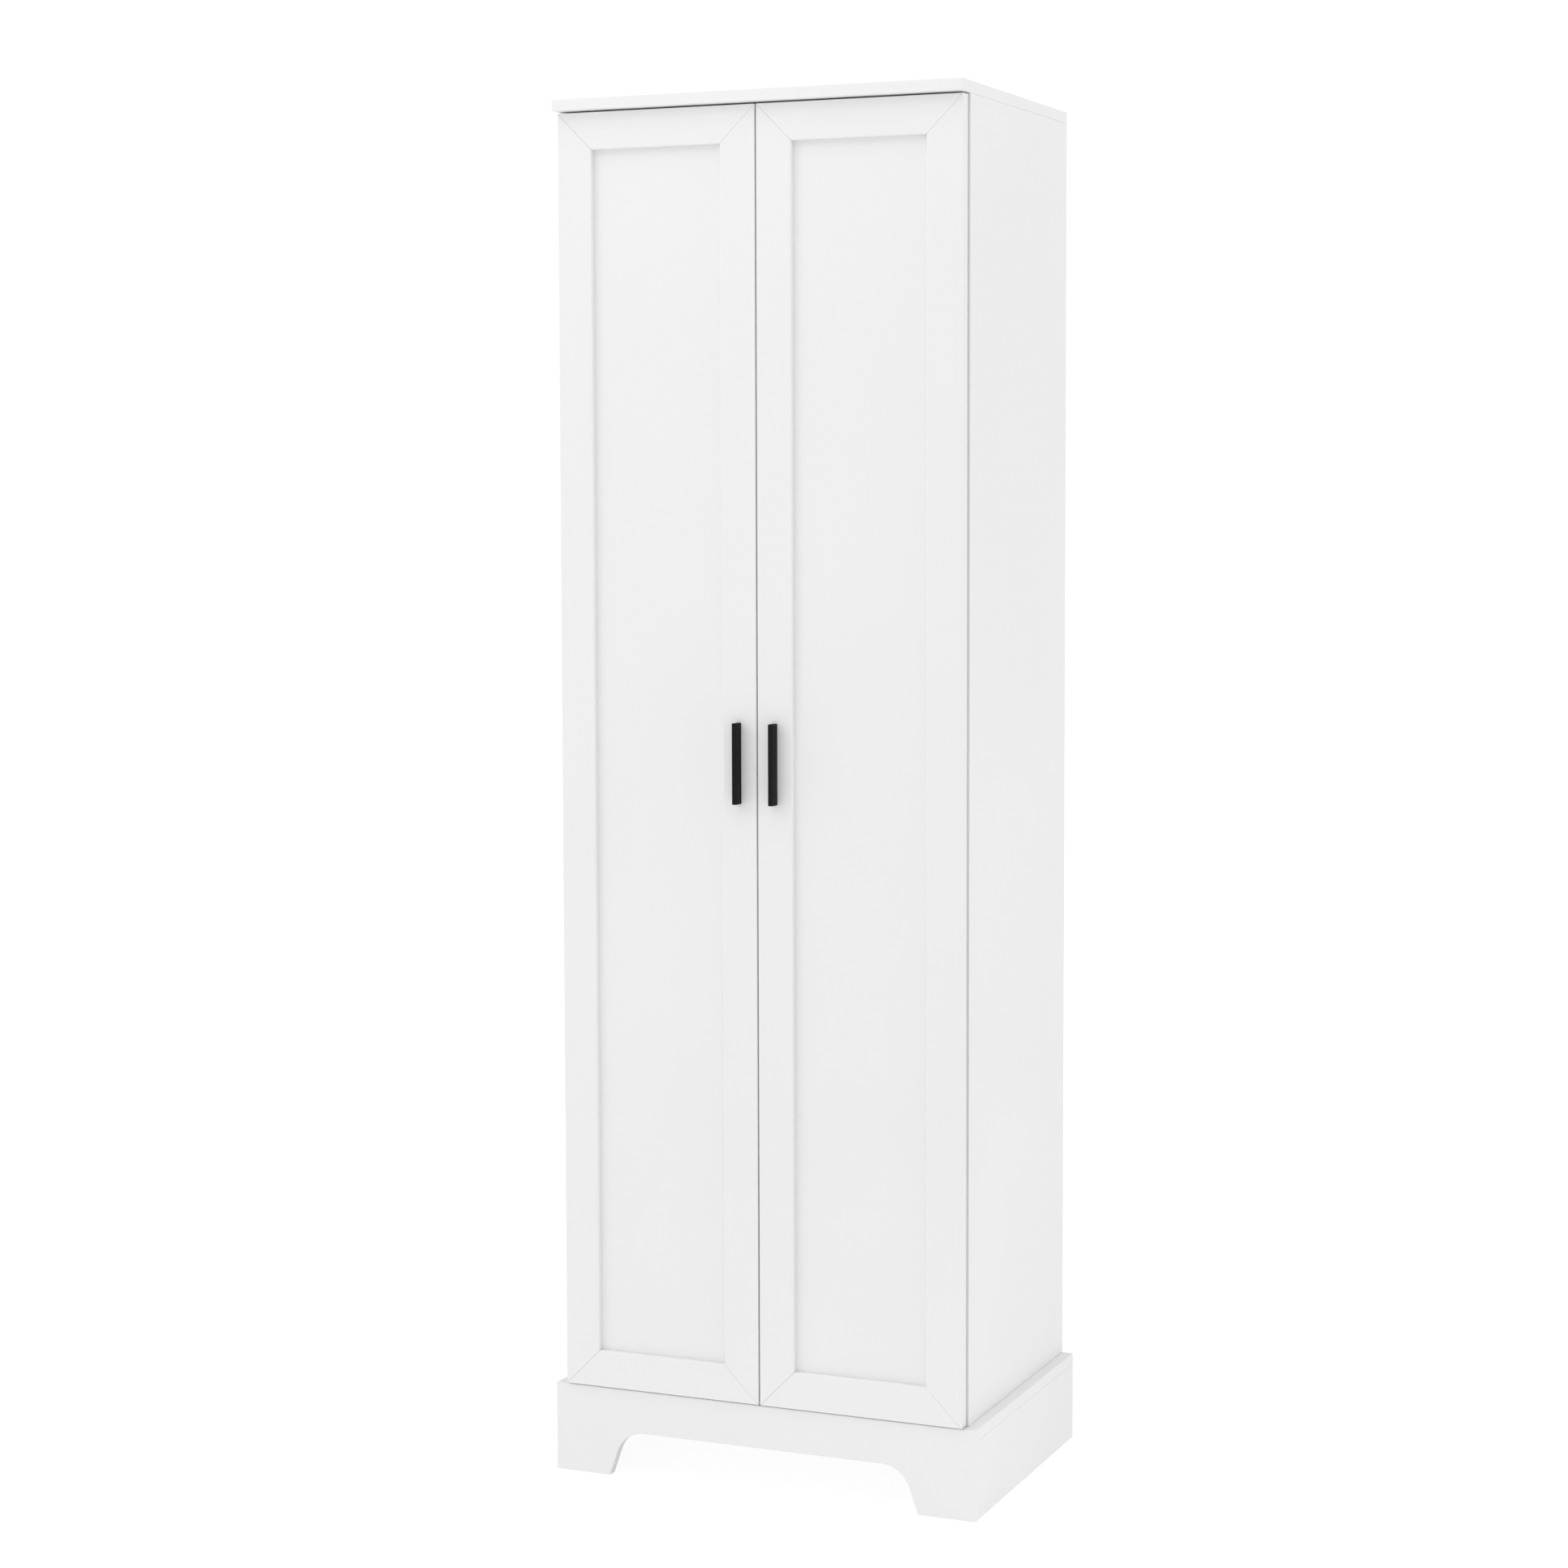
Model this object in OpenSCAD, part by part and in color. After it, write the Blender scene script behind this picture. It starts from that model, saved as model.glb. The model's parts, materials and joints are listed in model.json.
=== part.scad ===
// Tall two-door pantry cabinet on a flared plinth, knock-down board construction.
// Frame: origin on the floor under the centre of the overall box, +Z up,
// +X to the right of someone facing the doors, doors towards -Y.

/* [Carcass] */
// Overall height from the floor to the top face
cabinet_h = 1800; // [1760:10:1880]
// Width across the two side panels
carcass_w = 560; // [520:10:640]
// Depth of the side panels from front edge to rear edge
side_d = 380; // [340:10:440]
// Thickness of the carcass boards
board_t = 15; // [15:1:16]
// How far the top panel stands out in front of the doors
top_overhang = 12; // [6:1:20]
// Thickness of the back panel
back_t = 2.5; // [2.5:0.1:3]

/* [Plinth] */
// Height of the plinth with the bottom deck
plinth_h = 117; // [100:1:130]
// How far the deck and plinth stand out past each side panel
plinth_ledge = 15; // [10:1:20]
// How far the plinth front sits behind the door fronts
plinth_setback = 4; // [2:1:6]
// Width of each foot at the floor
foot_w = 77.5; // [60:0.5:90]
// Height of the cut-out in the plinth front
arch_h = 60.6; // [50:0.2:70]
// Lean of the sides of the cut-out from vertical, in degrees
arch_lean = 19.5; // [10:0.5:25]
// Radius of the upper corners of the cut-out
arch_r = 40; // [20:1:42]

/* [Doors] */
// Thickness of the door frame
door_t = 18; // [18:1:19]
// Gap between a closed door and the side panel's front edge
door_gap = 3; // [3:0.1:3.5]
// Gap between the doors, and above and below them
door_reveal = 2; // [2:0.5:4]
// Inset of each door's outer edge from the carcass side
door_inset = 2.5; // [2:0.5:3]
// Width of the four frame members
frame_w = 48; // [46:1:60]
// Depth of the recess in the door front
recess_d = 8; // [6:0.5:8]
// Thickness of the recessed panel
panel_t = 5; // [4:0.5:5]
// Length of a handle
handle_h = 104; // [100:1:140]
// Width of a handle
handle_w = 6.5; // [6.5:0.5:10]
// How far a handle stands out from the door
handle_d = 16; // [14:1:20]

/* [Fittings] */
// Height of the fixed shelf's upper face
fixed_shelf_top = 870; // [860:1:880]
// Step of the shelf-pin rows
pin_step = 32; // [32]

/* [Hidden] */
$fn = 48;
eps = 0.01;
SIDES = [-1, 1];

// Depth planes, from the handle fronts back to the nail heads
nail_head_t = 0.5;
total_d = handle_d + door_t + door_gap + side_d + back_t + nail_head_t;
door_front_y = -total_d / 2 + handle_d;
door_back_y = door_front_y + door_t;
side_front_y = door_back_y + door_gap;
side_rear_y = side_front_y + side_d;
back_rear_y = side_rear_y + back_t;
plinth_front_y = door_front_y + plinth_setback;
deck_front_y = plinth_front_y + board_t;

// Widths and heights
half_w = carcass_w / 2;
inner_x = half_w - board_t;
plinth_x = half_w + plinth_ledge;
deck_z = plinth_h - board_t;
top_z = cabinet_h - board_t;

// Doors: the outer edge, the meeting edge and the two ends of the left door
door_x0 = -half_w + door_inset;
door_x1 = -door_reveal / 2;
door_z0 = plinth_h + door_reveal;
door_z1 = top_z - door_reveal;
door_mid_z = (door_z0 + door_z1) / 2;
groove_d = 8;
groove_play = 0.1;
panel_in = groove_d - 0.5;
handle_x = door_x1 - frame_w / 2;
handle_screw_pitch = 96;
handle_screw_r = 2;
handle_bore_r = 2.25;
handle_thread_l = 10;
handle_head_r = 4;
handle_head_t = 2;
bumper_r = 4;
bumper_t = door_gap - 0.3;
bumper_x = -20;

// Hinges, in a plane seen from above: distance in from the door's outer edge,
// and distance forward of the door's back face
hinge_inset_z = 97;
hinge_zs = [door_z0 + hinge_inset_z, door_mid_z, door_z1 - hinge_inset_z];
cup_r = 17.5;
cup_depth = 12.8;
cup_wall = 0.6;
cup_edge = 3;
cup_in = cup_edge + cup_r;
cup_bore_r = cup_r + 0.1;
cup_bore_d = 13;
rim_r = 18.7;
flange_t = 1;
flange_w = 11;
cup_screw_in = cup_in + 9.5;
cup_screw_z = 22.5;
cup_screw_r = 1.75;
cup_screw_l = 12;
cup_head_r = 3.4;
cup_head_t = 1.2;
pivot_in = 7.5;
pivot_fwd = 9.6;
pin_r = 1.25;
pin_play = 0.04;
eye_r = 2.4;
arm_t = 1.6;
arm_w = 12;
ear_gap = 12.6;
ear_t = 1.2;
ear_in = 13;
ear_fwd = 5;
neck_in = 19.5;
neck_bend_r = 3.2;
neck_back = 6;
channel_back = 13;
channel_end = 62;
channel_top = 27;
channel_base = 18;
channel_w = 14;
channel_wall = 1.5;
channel_slope = 7;
side_face_in = -door_inset + board_t;
plate_col = 37;
plate_back = door_gap + plate_col;
plate_base_t = 2;
plate_wing_z = 25;
plate_wing_w = 16;
plate_body_w = 10.8;
plate_body_t = 8;
plate_body_front = 20;
plate_screw_z = 16;
plate_screw_r = 3.15;
plate_screw_l = 11;
plate_head_r = 4.5;
plate_head_t = 1.5;
arm_screw_r = 2.5;
arm_screw_backs = [25, 54];
arm_head_r = 3.7;
arm_head_t = 1;

// Shelf pins and shelves
pin_front_y = side_front_y + plate_col;
pin_rear_y = side_rear_y - plate_col;
pin_base_z = plinth_h + 8;
pin_rows = [7, 15, 33, 42];
pin_spread = 2;
pin_hole_r = 2.5;
pin_hole_d = 10;
pin_peg_r = 2.45;
pin_peg_l = 9.5;
pin_collar_r = 3.5;
pin_collar_t = 1.2;
pin_arm_l = 7;
shelf_end_gap = 1.5;
shelf_front_gap = 10;
shelf_rear_gap = 2;

// Cam fittings: bolt axis along +Z from the joint plane, cam entering from +X
cam_reach = 34;
cam_r = 7.5;
cam_play = 0.05;
cam_h = 12;
cam_bore_d = 12.5;
bolt_thread_r = 2.5;
bolt_thread_l = 10;
bolt_shank_r = 3;
bolt_head_r = 3.5;
bolt_head_l = 6;
bolt_bore_r = 4;
dowel_r = 3.95;
dowel_hole_r = 4;
dowel_in_face = 10;
dowel_in_edge = 20;
side_mid_x = half_w - board_t / 2;
joint_front_y = side_front_y + 78;
joint_rear_y = side_rear_y - 77;
joint_mid_y = (joint_front_y + joint_rear_y) / 2;
shelf_mid_z = fixed_shelf_top - board_t / 2;
rail_h = 70;
rail_mid_y = side_rear_y - board_t / 2;
rail_mid_z = top_z - rail_h / 2;
rail_hole_r = 2.75;
rail_hole_x = 200;
rail_cam_dz = 12;

// Each joint is [position, outer turn, inner turn]
UP_LEFT = [[0, 0, 0], [0, 0, 0]];
UP_RIGHT = [[0, 0, 0], [0, 0, 180]];
DOWN_LEFT = [[0, 0, 0], [180, 0, 0]];
DOWN_RIGHT = [[0, 0, 0], [0, 180, 0]];
IN_LEFT = [[0, 0, 0], [0, 90, 0]];
IN_RIGHT = [[0, 0, 0], [0, 90, 180]];
RAIL_LEFT = [[-90, 0, 0], [0, 90, 0]];
RAIL_RIGHT = [[-90, 0, 0], [0, 90, 180]];
function joint(p, turns) = [p, turns[0], turns[1]];
function frame_joints(y) = [
    joint([-side_mid_x, y, plinth_h], UP_LEFT),
    joint([side_mid_x, y, plinth_h], UP_RIGHT),
    joint([-side_mid_x, y, top_z], DOWN_LEFT),
    joint([side_mid_x, y, top_z], DOWN_RIGHT),
    joint([-inner_x, y, shelf_mid_z], IN_LEFT),
    joint([inner_x, y, shelf_mid_z], IN_RIGHT)];
function rail_joints(z) = [
    joint([-inner_x, rail_mid_y, z], RAIL_LEFT),
    joint([inner_x, rail_mid_y, z], RAIL_RIGHT)];
CAM_JOINTS = concat(frame_joints(joint_front_y), frame_joints(joint_rear_y),
    rail_joints(rail_mid_z + rail_cam_dz));
DOWEL_JOINTS = concat(frame_joints(joint_mid_y), rail_joints(rail_mid_z - rail_cam_dz));

// Plinth corner blocks and their screws
block_w = 25;
block_h = 90;
block_screw_r = 1.75;
block_screw_l = 34;
block_head_r = 3.5;
block_head_t = 1.5;
block_screw_z = 70;
block_screw_drop = 25;
upright_screw_z = deck_z - block_w;

// Back panel
back_inset = 2;
back_x = half_w - back_inset;
back_top_z = cabinet_h - back_inset;
back_low_z = deck_z + 3;
back_joint_z = door_mid_z;
strip_web = 1.2;
strip_flange_h = 12;
strip_in_t = 1;
nail_r = 0.7;
nail_l = 16;
nail_head_r = 2.2;
nail_low_z = plinth_h + 60;
nail_pitch_z = 139;
nail_count_z = 12;
nail_pitch_x = 120;

WHITE_BOARD = [0.93, 0.93, 0.93];
BLACK_METAL = [0.10, 0.10, 0.11];
NICKEL = [0.72, 0.72, 0.70];
ZINC = [0.60, 0.61, 0.63];
BEECH = [0.80, 0.64, 0.44];
WHITE_PLASTIC = [0.88, 0.88, 0.86];
CLEAR_PLASTIC = [0.82, 0.84, 0.86];

// ---------------------------------------------------------------- helpers

// A box from its lowest corner to its highest corner
module block(low, high) {
    translate(low) cube(high - low);
}

// A flat outline drawn in X and Z, made t thick towards the front from y_rear
module upright(y_rear, t) {
    translate([0, y_rear, 0]) rotate([90, 0, 0]) linear_extrude(t) children();
}

// A rod along X, Y or Z from its starting point
module rod_x(p, r, l) { translate(p) rotate([0, 90, 0]) cylinder(r = r, h = l); }
module rod_y(p, r, l) { translate(p) rotate([-90, 0, 0]) cylinder(r = r, h = l); }
module rod_z(p, r, l) { translate(p) cylinder(r = r, h = l); }

// Left-hand pieces are drawn as they are, right-hand ones are their mirror image
module on_side(side) {
    if (side < 0) children();
    else mirror([1, 0, 0]) children();
}

module place(j) {
    translate(j[0]) rotate(j[1]) rotate(j[2]) children();
}

// ---------------------------------------------------------------- joint fittings

module cam_cut() {
    rod_z([0, 0, -bolt_thread_l], bolt_thread_r, bolt_thread_l + eps);
    rod_z([0, 0, -eps], bolt_bore_r, cam_reach);
    rod_x([board_t / 2 - cam_bore_d, 0, cam_reach], cam_r, cam_bore_d + 1);
}

module cam_lock() {
    difference() {
        rod_x([board_t / 2 - cam_h, 0, cam_reach], cam_r - cam_play, cam_h);
        rod_z([0, 0, 0], bolt_bore_r, cam_reach + 1);
    }
}

module cam_bolt() {
    rod_z([0, 0, -bolt_thread_l], bolt_thread_r, bolt_thread_l + 1);
    rod_z([0, 0, 0], bolt_shank_r, cam_reach - bolt_head_l);
    rod_z([0, 0, cam_reach - bolt_head_l], bolt_head_r, bolt_head_l);
}

module dowel_cut() {
    rod_z([0, 0, -dowel_in_face], dowel_hole_r, dowel_in_face + dowel_in_edge);
}

module joint_cuts() {
    for (j = CAM_JOINTS) place(j) cam_cut();
    for (j = DOWEL_JOINTS) place(j) dowel_cut();
}

module cam_locks() {
    color(ZINC) for (j = CAM_JOINTS) place(j) cam_lock();
}

module cam_bolts() {
    color(ZINC) for (j = CAM_JOINTS) place(j) cam_bolt();
}

module dowels() {
    color(BEECH) for (j = DOWEL_JOINTS) place(j)
        rod_z([0, 0, 1 - dowel_in_face], dowel_r, dowel_in_face + dowel_in_edge - 2);
}

// ---------------------------------------------------------------- carcass boards

module top_panel() {
    color(WHITE_BOARD) difference() {
        block([-half_w, door_front_y - top_overhang, top_z], [half_w, side_rear_y, cabinet_h]);
        joint_cuts();
    }
}

module shelf_pin_holes() {
    for (row = pin_rows, k = [-pin_spread:pin_spread], y = [pin_front_y, pin_rear_y])
        rod_x([-inner_x - pin_hole_d, y, pin_base_z + (row + k) * pin_step],
            pin_hole_r, pin_hole_d + 1);
}

module plate_screw_holes() {
    for (z = hinge_zs, k = [-plate_screw_z, plate_screw_z])
        rod_x([-inner_x - plate_screw_l, pin_front_y, z + k], plate_screw_r, plate_screw_l + 1);
}

module side_panel(side) {
    color(WHITE_BOARD) difference() {
        on_side(side) difference() {
            block([-half_w, side_front_y, plinth_h], [-inner_x, side_rear_y, top_z]);
            shelf_pin_holes();
            plate_screw_holes();
        }
        joint_cuts();
    }
}

module bottom_deck() {
    color(WHITE_BOARD) difference() {
        block([-plinth_x, deck_front_y, deck_z], [plinth_x, side_rear_y, plinth_h]);
        joint_cuts();
        block_screw_rods(block_screw_r);
    }
}

module fixed_shelf() {
    color(WHITE_BOARD) difference() {
        block([-inner_x, side_front_y, fixed_shelf_top - board_t],
            [inner_x, side_rear_y, fixed_shelf_top]);
        joint_cuts();
    }
}

function shelf_z(i) = pin_base_z + pin_rows[i] * pin_step + pin_hole_r;

module adjustable_shelf(i) {
    shelf_x = inner_x - shelf_end_gap;
    color(WHITE_BOARD)
        block([-shelf_x, side_front_y + shelf_front_gap, shelf_z(i)],
            [shelf_x, side_rear_y - shelf_rear_gap, shelf_z(i) + board_t]);
}

module wall_rail() {
    color(WHITE_BOARD) difference() {
        block([-inner_x, side_rear_y - board_t, top_z - rail_h], [inner_x, side_rear_y, top_z]);
        joint_cuts();
        rail_holes();
    }
}

module rail_holes() {
    for (side = SIDES)
        rod_y([side * rail_hole_x, side_rear_y - board_t - 1, rail_mid_z],
            rail_hole_r, board_t + back_t + 2);
}

// ---------------------------------------------------------------- plinth

// Cut-out with a flat top, leaning sides and round upper corners, in X and Z
module arch_outline() {
    foot_x = plinth_x - foot_w;
    corner_x = foot_x - arch_h * tan(arch_lean);
    reach = arch_r * tan((90 - arch_lean) / 2);
    polygon(concat(
        [[-foot_x, 0], [foot_x, 0]],
        [for (k = [0:8]) let (t = arch_lean + (90 - arch_lean) * k / 8)
            [corner_x - reach + arch_r * sin(90 - t), arch_h - arch_r + arch_r * sin(t)]],
        [for (k = [8:-1:0]) let (t = arch_lean + (90 - arch_lean) * k / 8)
            [reach - corner_x - arch_r * sin(90 - t), arch_h - arch_r + arch_r * sin(t)]]));
}

module plinth_front_board() {
    color(WHITE_BOARD) difference() {
        block([-plinth_x, plinth_front_y, 0], [plinth_x, deck_front_y, plinth_h]);
        upright(deck_front_y + 1, board_t + 2) arch_outline();
        block_screw_rods(block_screw_r);
    }
}

module plinth_skirt(side) {
    color(WHITE_BOARD) difference() {
        on_side(side) block([-plinth_x, deck_front_y, 0], [board_t - plinth_x, side_rear_y, deck_z]);
        block_screw_rods(block_screw_r);
    }
}

module plinth_back_rail() {
    color(WHITE_BOARD) difference() {
        block([board_t - plinth_x, side_rear_y - board_t, 0],
            [plinth_x - board_t, side_rear_y, deck_z]);
        block_screw_rods(block_screw_r);
    }
}

// Draws its children at the four inner corners, each in the first quadrant of its corner
module at_corners() {
    corner_x = plinth_x - board_t;
    for (side = SIDES) on_side(side) {
        translate([-corner_x, deck_front_y, 0]) children();
        translate([-corner_x, side_rear_y - board_t, 0]) mirror([0, 1, 0]) children();
    }
}

// One screw outwards, one to the front or rear board and one up into the deck
module block_screw_set(r) {
    rod_x([block_w - block_screw_l, block_w / 2, block_screw_z], r, block_screw_l);
    rod_y([block_w / 2, block_w - block_screw_l, block_screw_z - block_screw_drop],
        r, block_screw_l);
    rod_z([block_w / 2, block_w / 2, upright_screw_z], r, block_screw_l);
}

module block_screw_rods(r) {
    at_corners() block_screw_set(r);
}

module corner_block() {
    difference() {
        block([0, 0, deck_z - block_h], [block_w, block_w, deck_z]);
        block_screw_set(block_screw_r);
        rod_z([block_w / 2, block_w / 2, deck_z - block_h - 1],
            block_head_r + 1, block_h + 1 - block_w);
    }
}

module plinth_corner_blocks() {
    color(WHITE_PLASTIC) at_corners() corner_block();
}

module plinth_screws() {
    color(ZINC) at_corners() {
        block_screw_set(block_screw_r);
        rod_x([block_w, block_w / 2, block_screw_z], block_head_r, block_head_t);
        rod_y([block_w / 2, block_w, block_screw_z - block_screw_drop],
            block_head_r, block_head_t);
        rod_z([block_w / 2, block_w / 2, upright_screw_z - block_head_t],
            block_head_r, block_head_t);
    }
}

// ---------------------------------------------------------------- back

module back_panel(low_z, high_z) {
    color(WHITE_BOARD) difference() {
        block([-back_x, side_rear_y, low_z], [back_x, back_rear_y, high_z]);
        rail_holes();
    }
}

module back_panel_upper() {
    back_panel(back_joint_z + strip_web / 2, back_top_z);
}

module back_panel_lower() {
    back_panel(back_low_z, back_joint_z - strip_web / 2);
}

module back_joint_strip() {
    flange_z = strip_flange_h / 2;
    color(WHITE_PLASTIC) {
        block([-back_x, back_rear_y, back_joint_z - flange_z],
            [back_x, back_rear_y + nail_head_t, back_joint_z + flange_z]);
        block([-inner_x, side_rear_y - eps, back_joint_z - strip_web / 2],
            [inner_x, back_rear_y + eps, back_joint_z + strip_web / 2]);
        block([-inner_x + 1, side_rear_y - strip_in_t, back_joint_z - flange_z],
            [inner_x - 1, side_rear_y, back_joint_z + flange_z]);
    }
}

module back_nail() {
    rod_y([0, back_rear_y - nail_l, 0], nail_r, nail_l + eps);
    rod_y([0, back_rear_y, 0], nail_head_r, nail_head_t);
}

module back_nails() {
    color(ZINC) {
        for (side = SIDES, k = [0:nail_count_z - 1])
            translate([side * side_mid_x, 0, nail_low_z + k * nail_pitch_z]) back_nail();
        for (z = [deck_z + board_t / 2, shelf_mid_z, top_z + board_t / 2], k = [-2:2])
            translate([k * nail_pitch_x, 0, z]) back_nail();
    }
}

// ---------------------------------------------------------------- shelf pins

module shelf_pin() {
    rod_x([-inner_x - pin_peg_l, 0, 0], pin_peg_r, pin_peg_l + pin_collar_t);
    rod_x([-inner_x, 0, 0], pin_collar_r, pin_collar_t);
    rod_x([-inner_x, 0, 0], pin_hole_r, pin_collar_t + pin_arm_l);
}

module shelf_pins() {
    color(NICKEL) for (side = SIDES) on_side(side)
        for (row = pin_rows, y = [pin_front_y, pin_rear_y])
            translate([0, y, pin_base_z + row * pin_step]) shelf_pin();
}

// ---------------------------------------------------------------- hinges

// Points of the hinge plane seen from above: u in from the door's edge, v forward
function hinge_point(u, v) = [door_x0 + u, door_back_y - v];

module hinge_shape(points) {
    polygon([for (p = points) hinge_point(p[0], p[1])]);
}

// Gooseneck: round the pin, across the cup, out of its mouth and up to the channel
module arm_outline() {
    pivot = hinge_point(pivot_in, pivot_fwd);
    top_v = pivot_fwd + eye_r;
    bend_in = neck_in - neck_bend_r;
    bend_v = top_v - arm_t - neck_bend_r;
    translate(pivot) circle(eye_r);
    hinge_shape([[pivot_in, top_v], [bend_in, top_v], [bend_in, top_v - arm_t],
        [pivot_in, top_v - arm_t]]);
    translate(hinge_point(bend_in, bend_v)) intersection() {
        difference() {
            circle(neck_bend_r + arm_t);
            circle(neck_bend_r);
        }
        translate([0, -cup_r]) square(cup_r);
    }
    hinge_shape([[neck_in, bend_v], [neck_in + arm_t, bend_v], [neck_in + arm_t, -neck_back],
        [channel_top, -channel_back], [channel_top, -channel_end],
        [channel_top - arm_t, -channel_end], [channel_top - arm_t, -channel_back],
        [neck_in, -neck_back - 1]]);
}

module hinge_arm(z) {
    difference() {
        union() {
            translate([0, 0, z - arm_w / 2]) linear_extrude(arm_w) arm_outline();
            for (k = [-channel_w / 2, channel_w / 2 - channel_wall])
                translate([0, 0, z + k]) linear_extrude(channel_wall)
                    hinge_shape([[channel_top, -channel_back], [channel_top, -channel_end],
                        [channel_base, -channel_end], [channel_base, -channel_back - channel_slope]]);
            translate([0, 0, z - channel_w / 2]) linear_extrude(channel_w)
                hinge_shape([[channel_top, -channel_back], [channel_top, -channel_end],
                    [channel_top - arm_t, -channel_end], [channel_top - arm_t, -channel_back]]);
        }
        translate([0, 0, z - arm_w]) translate(hinge_point(pivot_in, pivot_fwd))
            cylinder(r = pin_r + pin_play, h = 2 * arm_w);
        for (v = arm_screw_backs) arm_screw_rod(z, v, arm_screw_r);
    }
}

module arm_screw_rod(z, v, r) {
    base_in = side_face_in + plate_base_t;
    p = hinge_point(base_in, -v);
    rod_x([p[0], p[1], z], r, channel_top - base_in + 1);
}

module hinge_arms() {
    color(NICKEL) for (side = SIDES, z = hinge_zs) on_side(side) hinge_arm(z);
}

module hinge_arm_screws() {
    p_in = hinge_point(channel_top, 0)[0];
    color(ZINC) for (side = SIDES, z = hinge_zs, v = arm_screw_backs) on_side(side) {
        arm_screw_rod(z, v, arm_screw_r);
        rod_x([p_in, hinge_point(0, -v)[1], z], arm_head_r, arm_head_t);
    }
}

module hinge_plate(z) {
    face = side_face_in;
    difference() {
        union() {
            translate([0, 0, z - plate_wing_z]) linear_extrude(2 * plate_wing_z)
                hinge_shape([[face, plate_wing_w / 2 - plate_back],
                    [face + plate_base_t, plate_wing_w / 2 - plate_back],
                    [face + plate_base_t, -plate_wing_w / 2 - plate_back],
                    [face, -plate_wing_w / 2 - plate_back]]);
            translate([0, 0, z - plate_body_w / 2]) linear_extrude(plate_body_w)
                hinge_shape([[face, -plate_body_front], [face + plate_body_t, -plate_body_front],
                    [face + plate_body_t, -channel_end], [face, -channel_end]]);
        }
        for (v = arm_screw_backs) arm_screw_rod(z, v, arm_screw_r);
        for (k = [-plate_screw_z, plate_screw_z])
            rod_x([-inner_x - 1, pin_front_y, z + k], plate_screw_r, plate_base_t + 2);
    }
}

module hinge_plates() {
    color(NICKEL) for (side = SIDES, z = hinge_zs) on_side(side) hinge_plate(z);
}

module hinge_plate_screws() {
    color(ZINC) for (side = SIDES, z = hinge_zs, k = [-plate_screw_z, plate_screw_z])
        on_side(side) {
            rod_x([-inner_x - plate_screw_l, pin_front_y, z + k],
                plate_screw_r, plate_screw_l + plate_base_t);
            rod_x([-inner_x + plate_base_t, pin_front_y, z + k], plate_head_r, plate_head_t);
        }
}

module at_cup(z) {
    translate([door_x0 + cup_in, door_back_y, z]) children();
}

// Pressed cup with its screw flange and the two ears that hold the pin
module hinge_cup(z) {
    screw_dx = cup_screw_in - cup_in;
    difference() {
        union() {
            at_cup(z) difference() {
                union() {
                    rotate([90, 0, 0]) cylinder(r = cup_r, h = cup_depth);
                    rotate([-90, 0, 0]) linear_extrude(flange_t) {
                        circle(rim_r);
                        translate([screw_dx - flange_w / 2, -cup_screw_z])
                            square([flange_w, 2 * cup_screw_z]);
                        for (k = SIDES) translate([screw_dx, k * cup_screw_z])
                            circle(flange_w / 2);
                    }
                }
                translate([0, flange_t + 1, 0]) rotate([90, 0, 0])
                    cylinder(r = cup_r - cup_wall, h = cup_depth - cup_wall + flange_t + 1);
            }
            intersection() {
                at_cup(z) rotate([90, 0, 0]) cylinder(r = cup_r - cup_wall / 2, h = cup_depth);
                for (k = [-ear_gap / 2 - ear_t, ear_gap / 2])
                    translate([0, 0, z + k]) linear_extrude(ear_t)
                        hinge_shape([[cup_edge, ear_fwd], [ear_in, ear_fwd],
                            [ear_in, cup_depth - cup_wall / 2],
                            [cup_edge, cup_depth - cup_wall / 2]]);
            }
        }
        pivot_rod(z, pin_r, ear_gap + 2 * ear_t + 1);
        for (k = SIDES)
            at_cup(z + k * cup_screw_z)
                rod_y([screw_dx, -1, 0], cup_screw_r, flange_t + 2);
    }
}

module pivot_rod(z, r, l) {
    translate([0, 0, z - l / 2]) translate(hinge_point(pivot_in, pivot_fwd))
        cylinder(r = r, h = l);
}

module hinge_cups(side) {
    color(NICKEL) on_side(side) for (z = hinge_zs) hinge_cup(z);
}

module hinge_pins(side) {
    color(ZINC) on_side(side) for (z = hinge_zs) pivot_rod(z, pin_r, ear_gap + 2 * ear_t);
}

module cup_screw_rods(head) {
    for (z = hinge_zs, k = SIDES) {
        p = [door_x0 + cup_screw_in, door_back_y, z + k * cup_screw_z];
        rod_y(p - [0, cup_screw_l, 0], cup_screw_r, cup_screw_l + flange_t);
        if (head) rod_y(p + [0, flange_t, 0], cup_head_r, cup_head_t);
    }
}

module cup_screws(side) {
    color(ZINC) on_side(side) cup_screw_rods(true);
}

// ---------------------------------------------------------------- doors

// Everything that is let into the left door's frame
module door_cuts() {
    groove_y = door_front_y + recess_d + panel_t;
    block([door_x0 + frame_w - groove_d, door_front_y + recess_d - groove_play,
            door_z0 + frame_w - groove_d],
        [door_x1 - frame_w + groove_d, groove_y + groove_play, door_z1 - frame_w + groove_d]);
    for (z = hinge_zs)
        at_cup(z) translate([0, 1, 0]) rotate([90, 0, 0])
            cylinder(r = cup_bore_r, h = cup_bore_d + 1);
    cup_screw_rods(false);
    for (k = SIDES)
        rod_y([handle_x, door_front_y - 1, door_mid_z + k * handle_screw_pitch / 2],
            handle_bore_r, door_t + 2);
}

// A frame member: a board outline in X and Z with mitred ends
module member(side, outline) {
    color(WHITE_BOARD) on_side(side) difference() {
        upright(door_back_y, door_t) polygon(outline);
        door_cuts();
    }
}

module hinge_stile(side) {
    member(side, [[door_x0, door_z0], [door_x0 + frame_w, door_z0 + frame_w],
        [door_x0 + frame_w, door_z1 - frame_w], [door_x0, door_z1]]);
}

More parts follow.
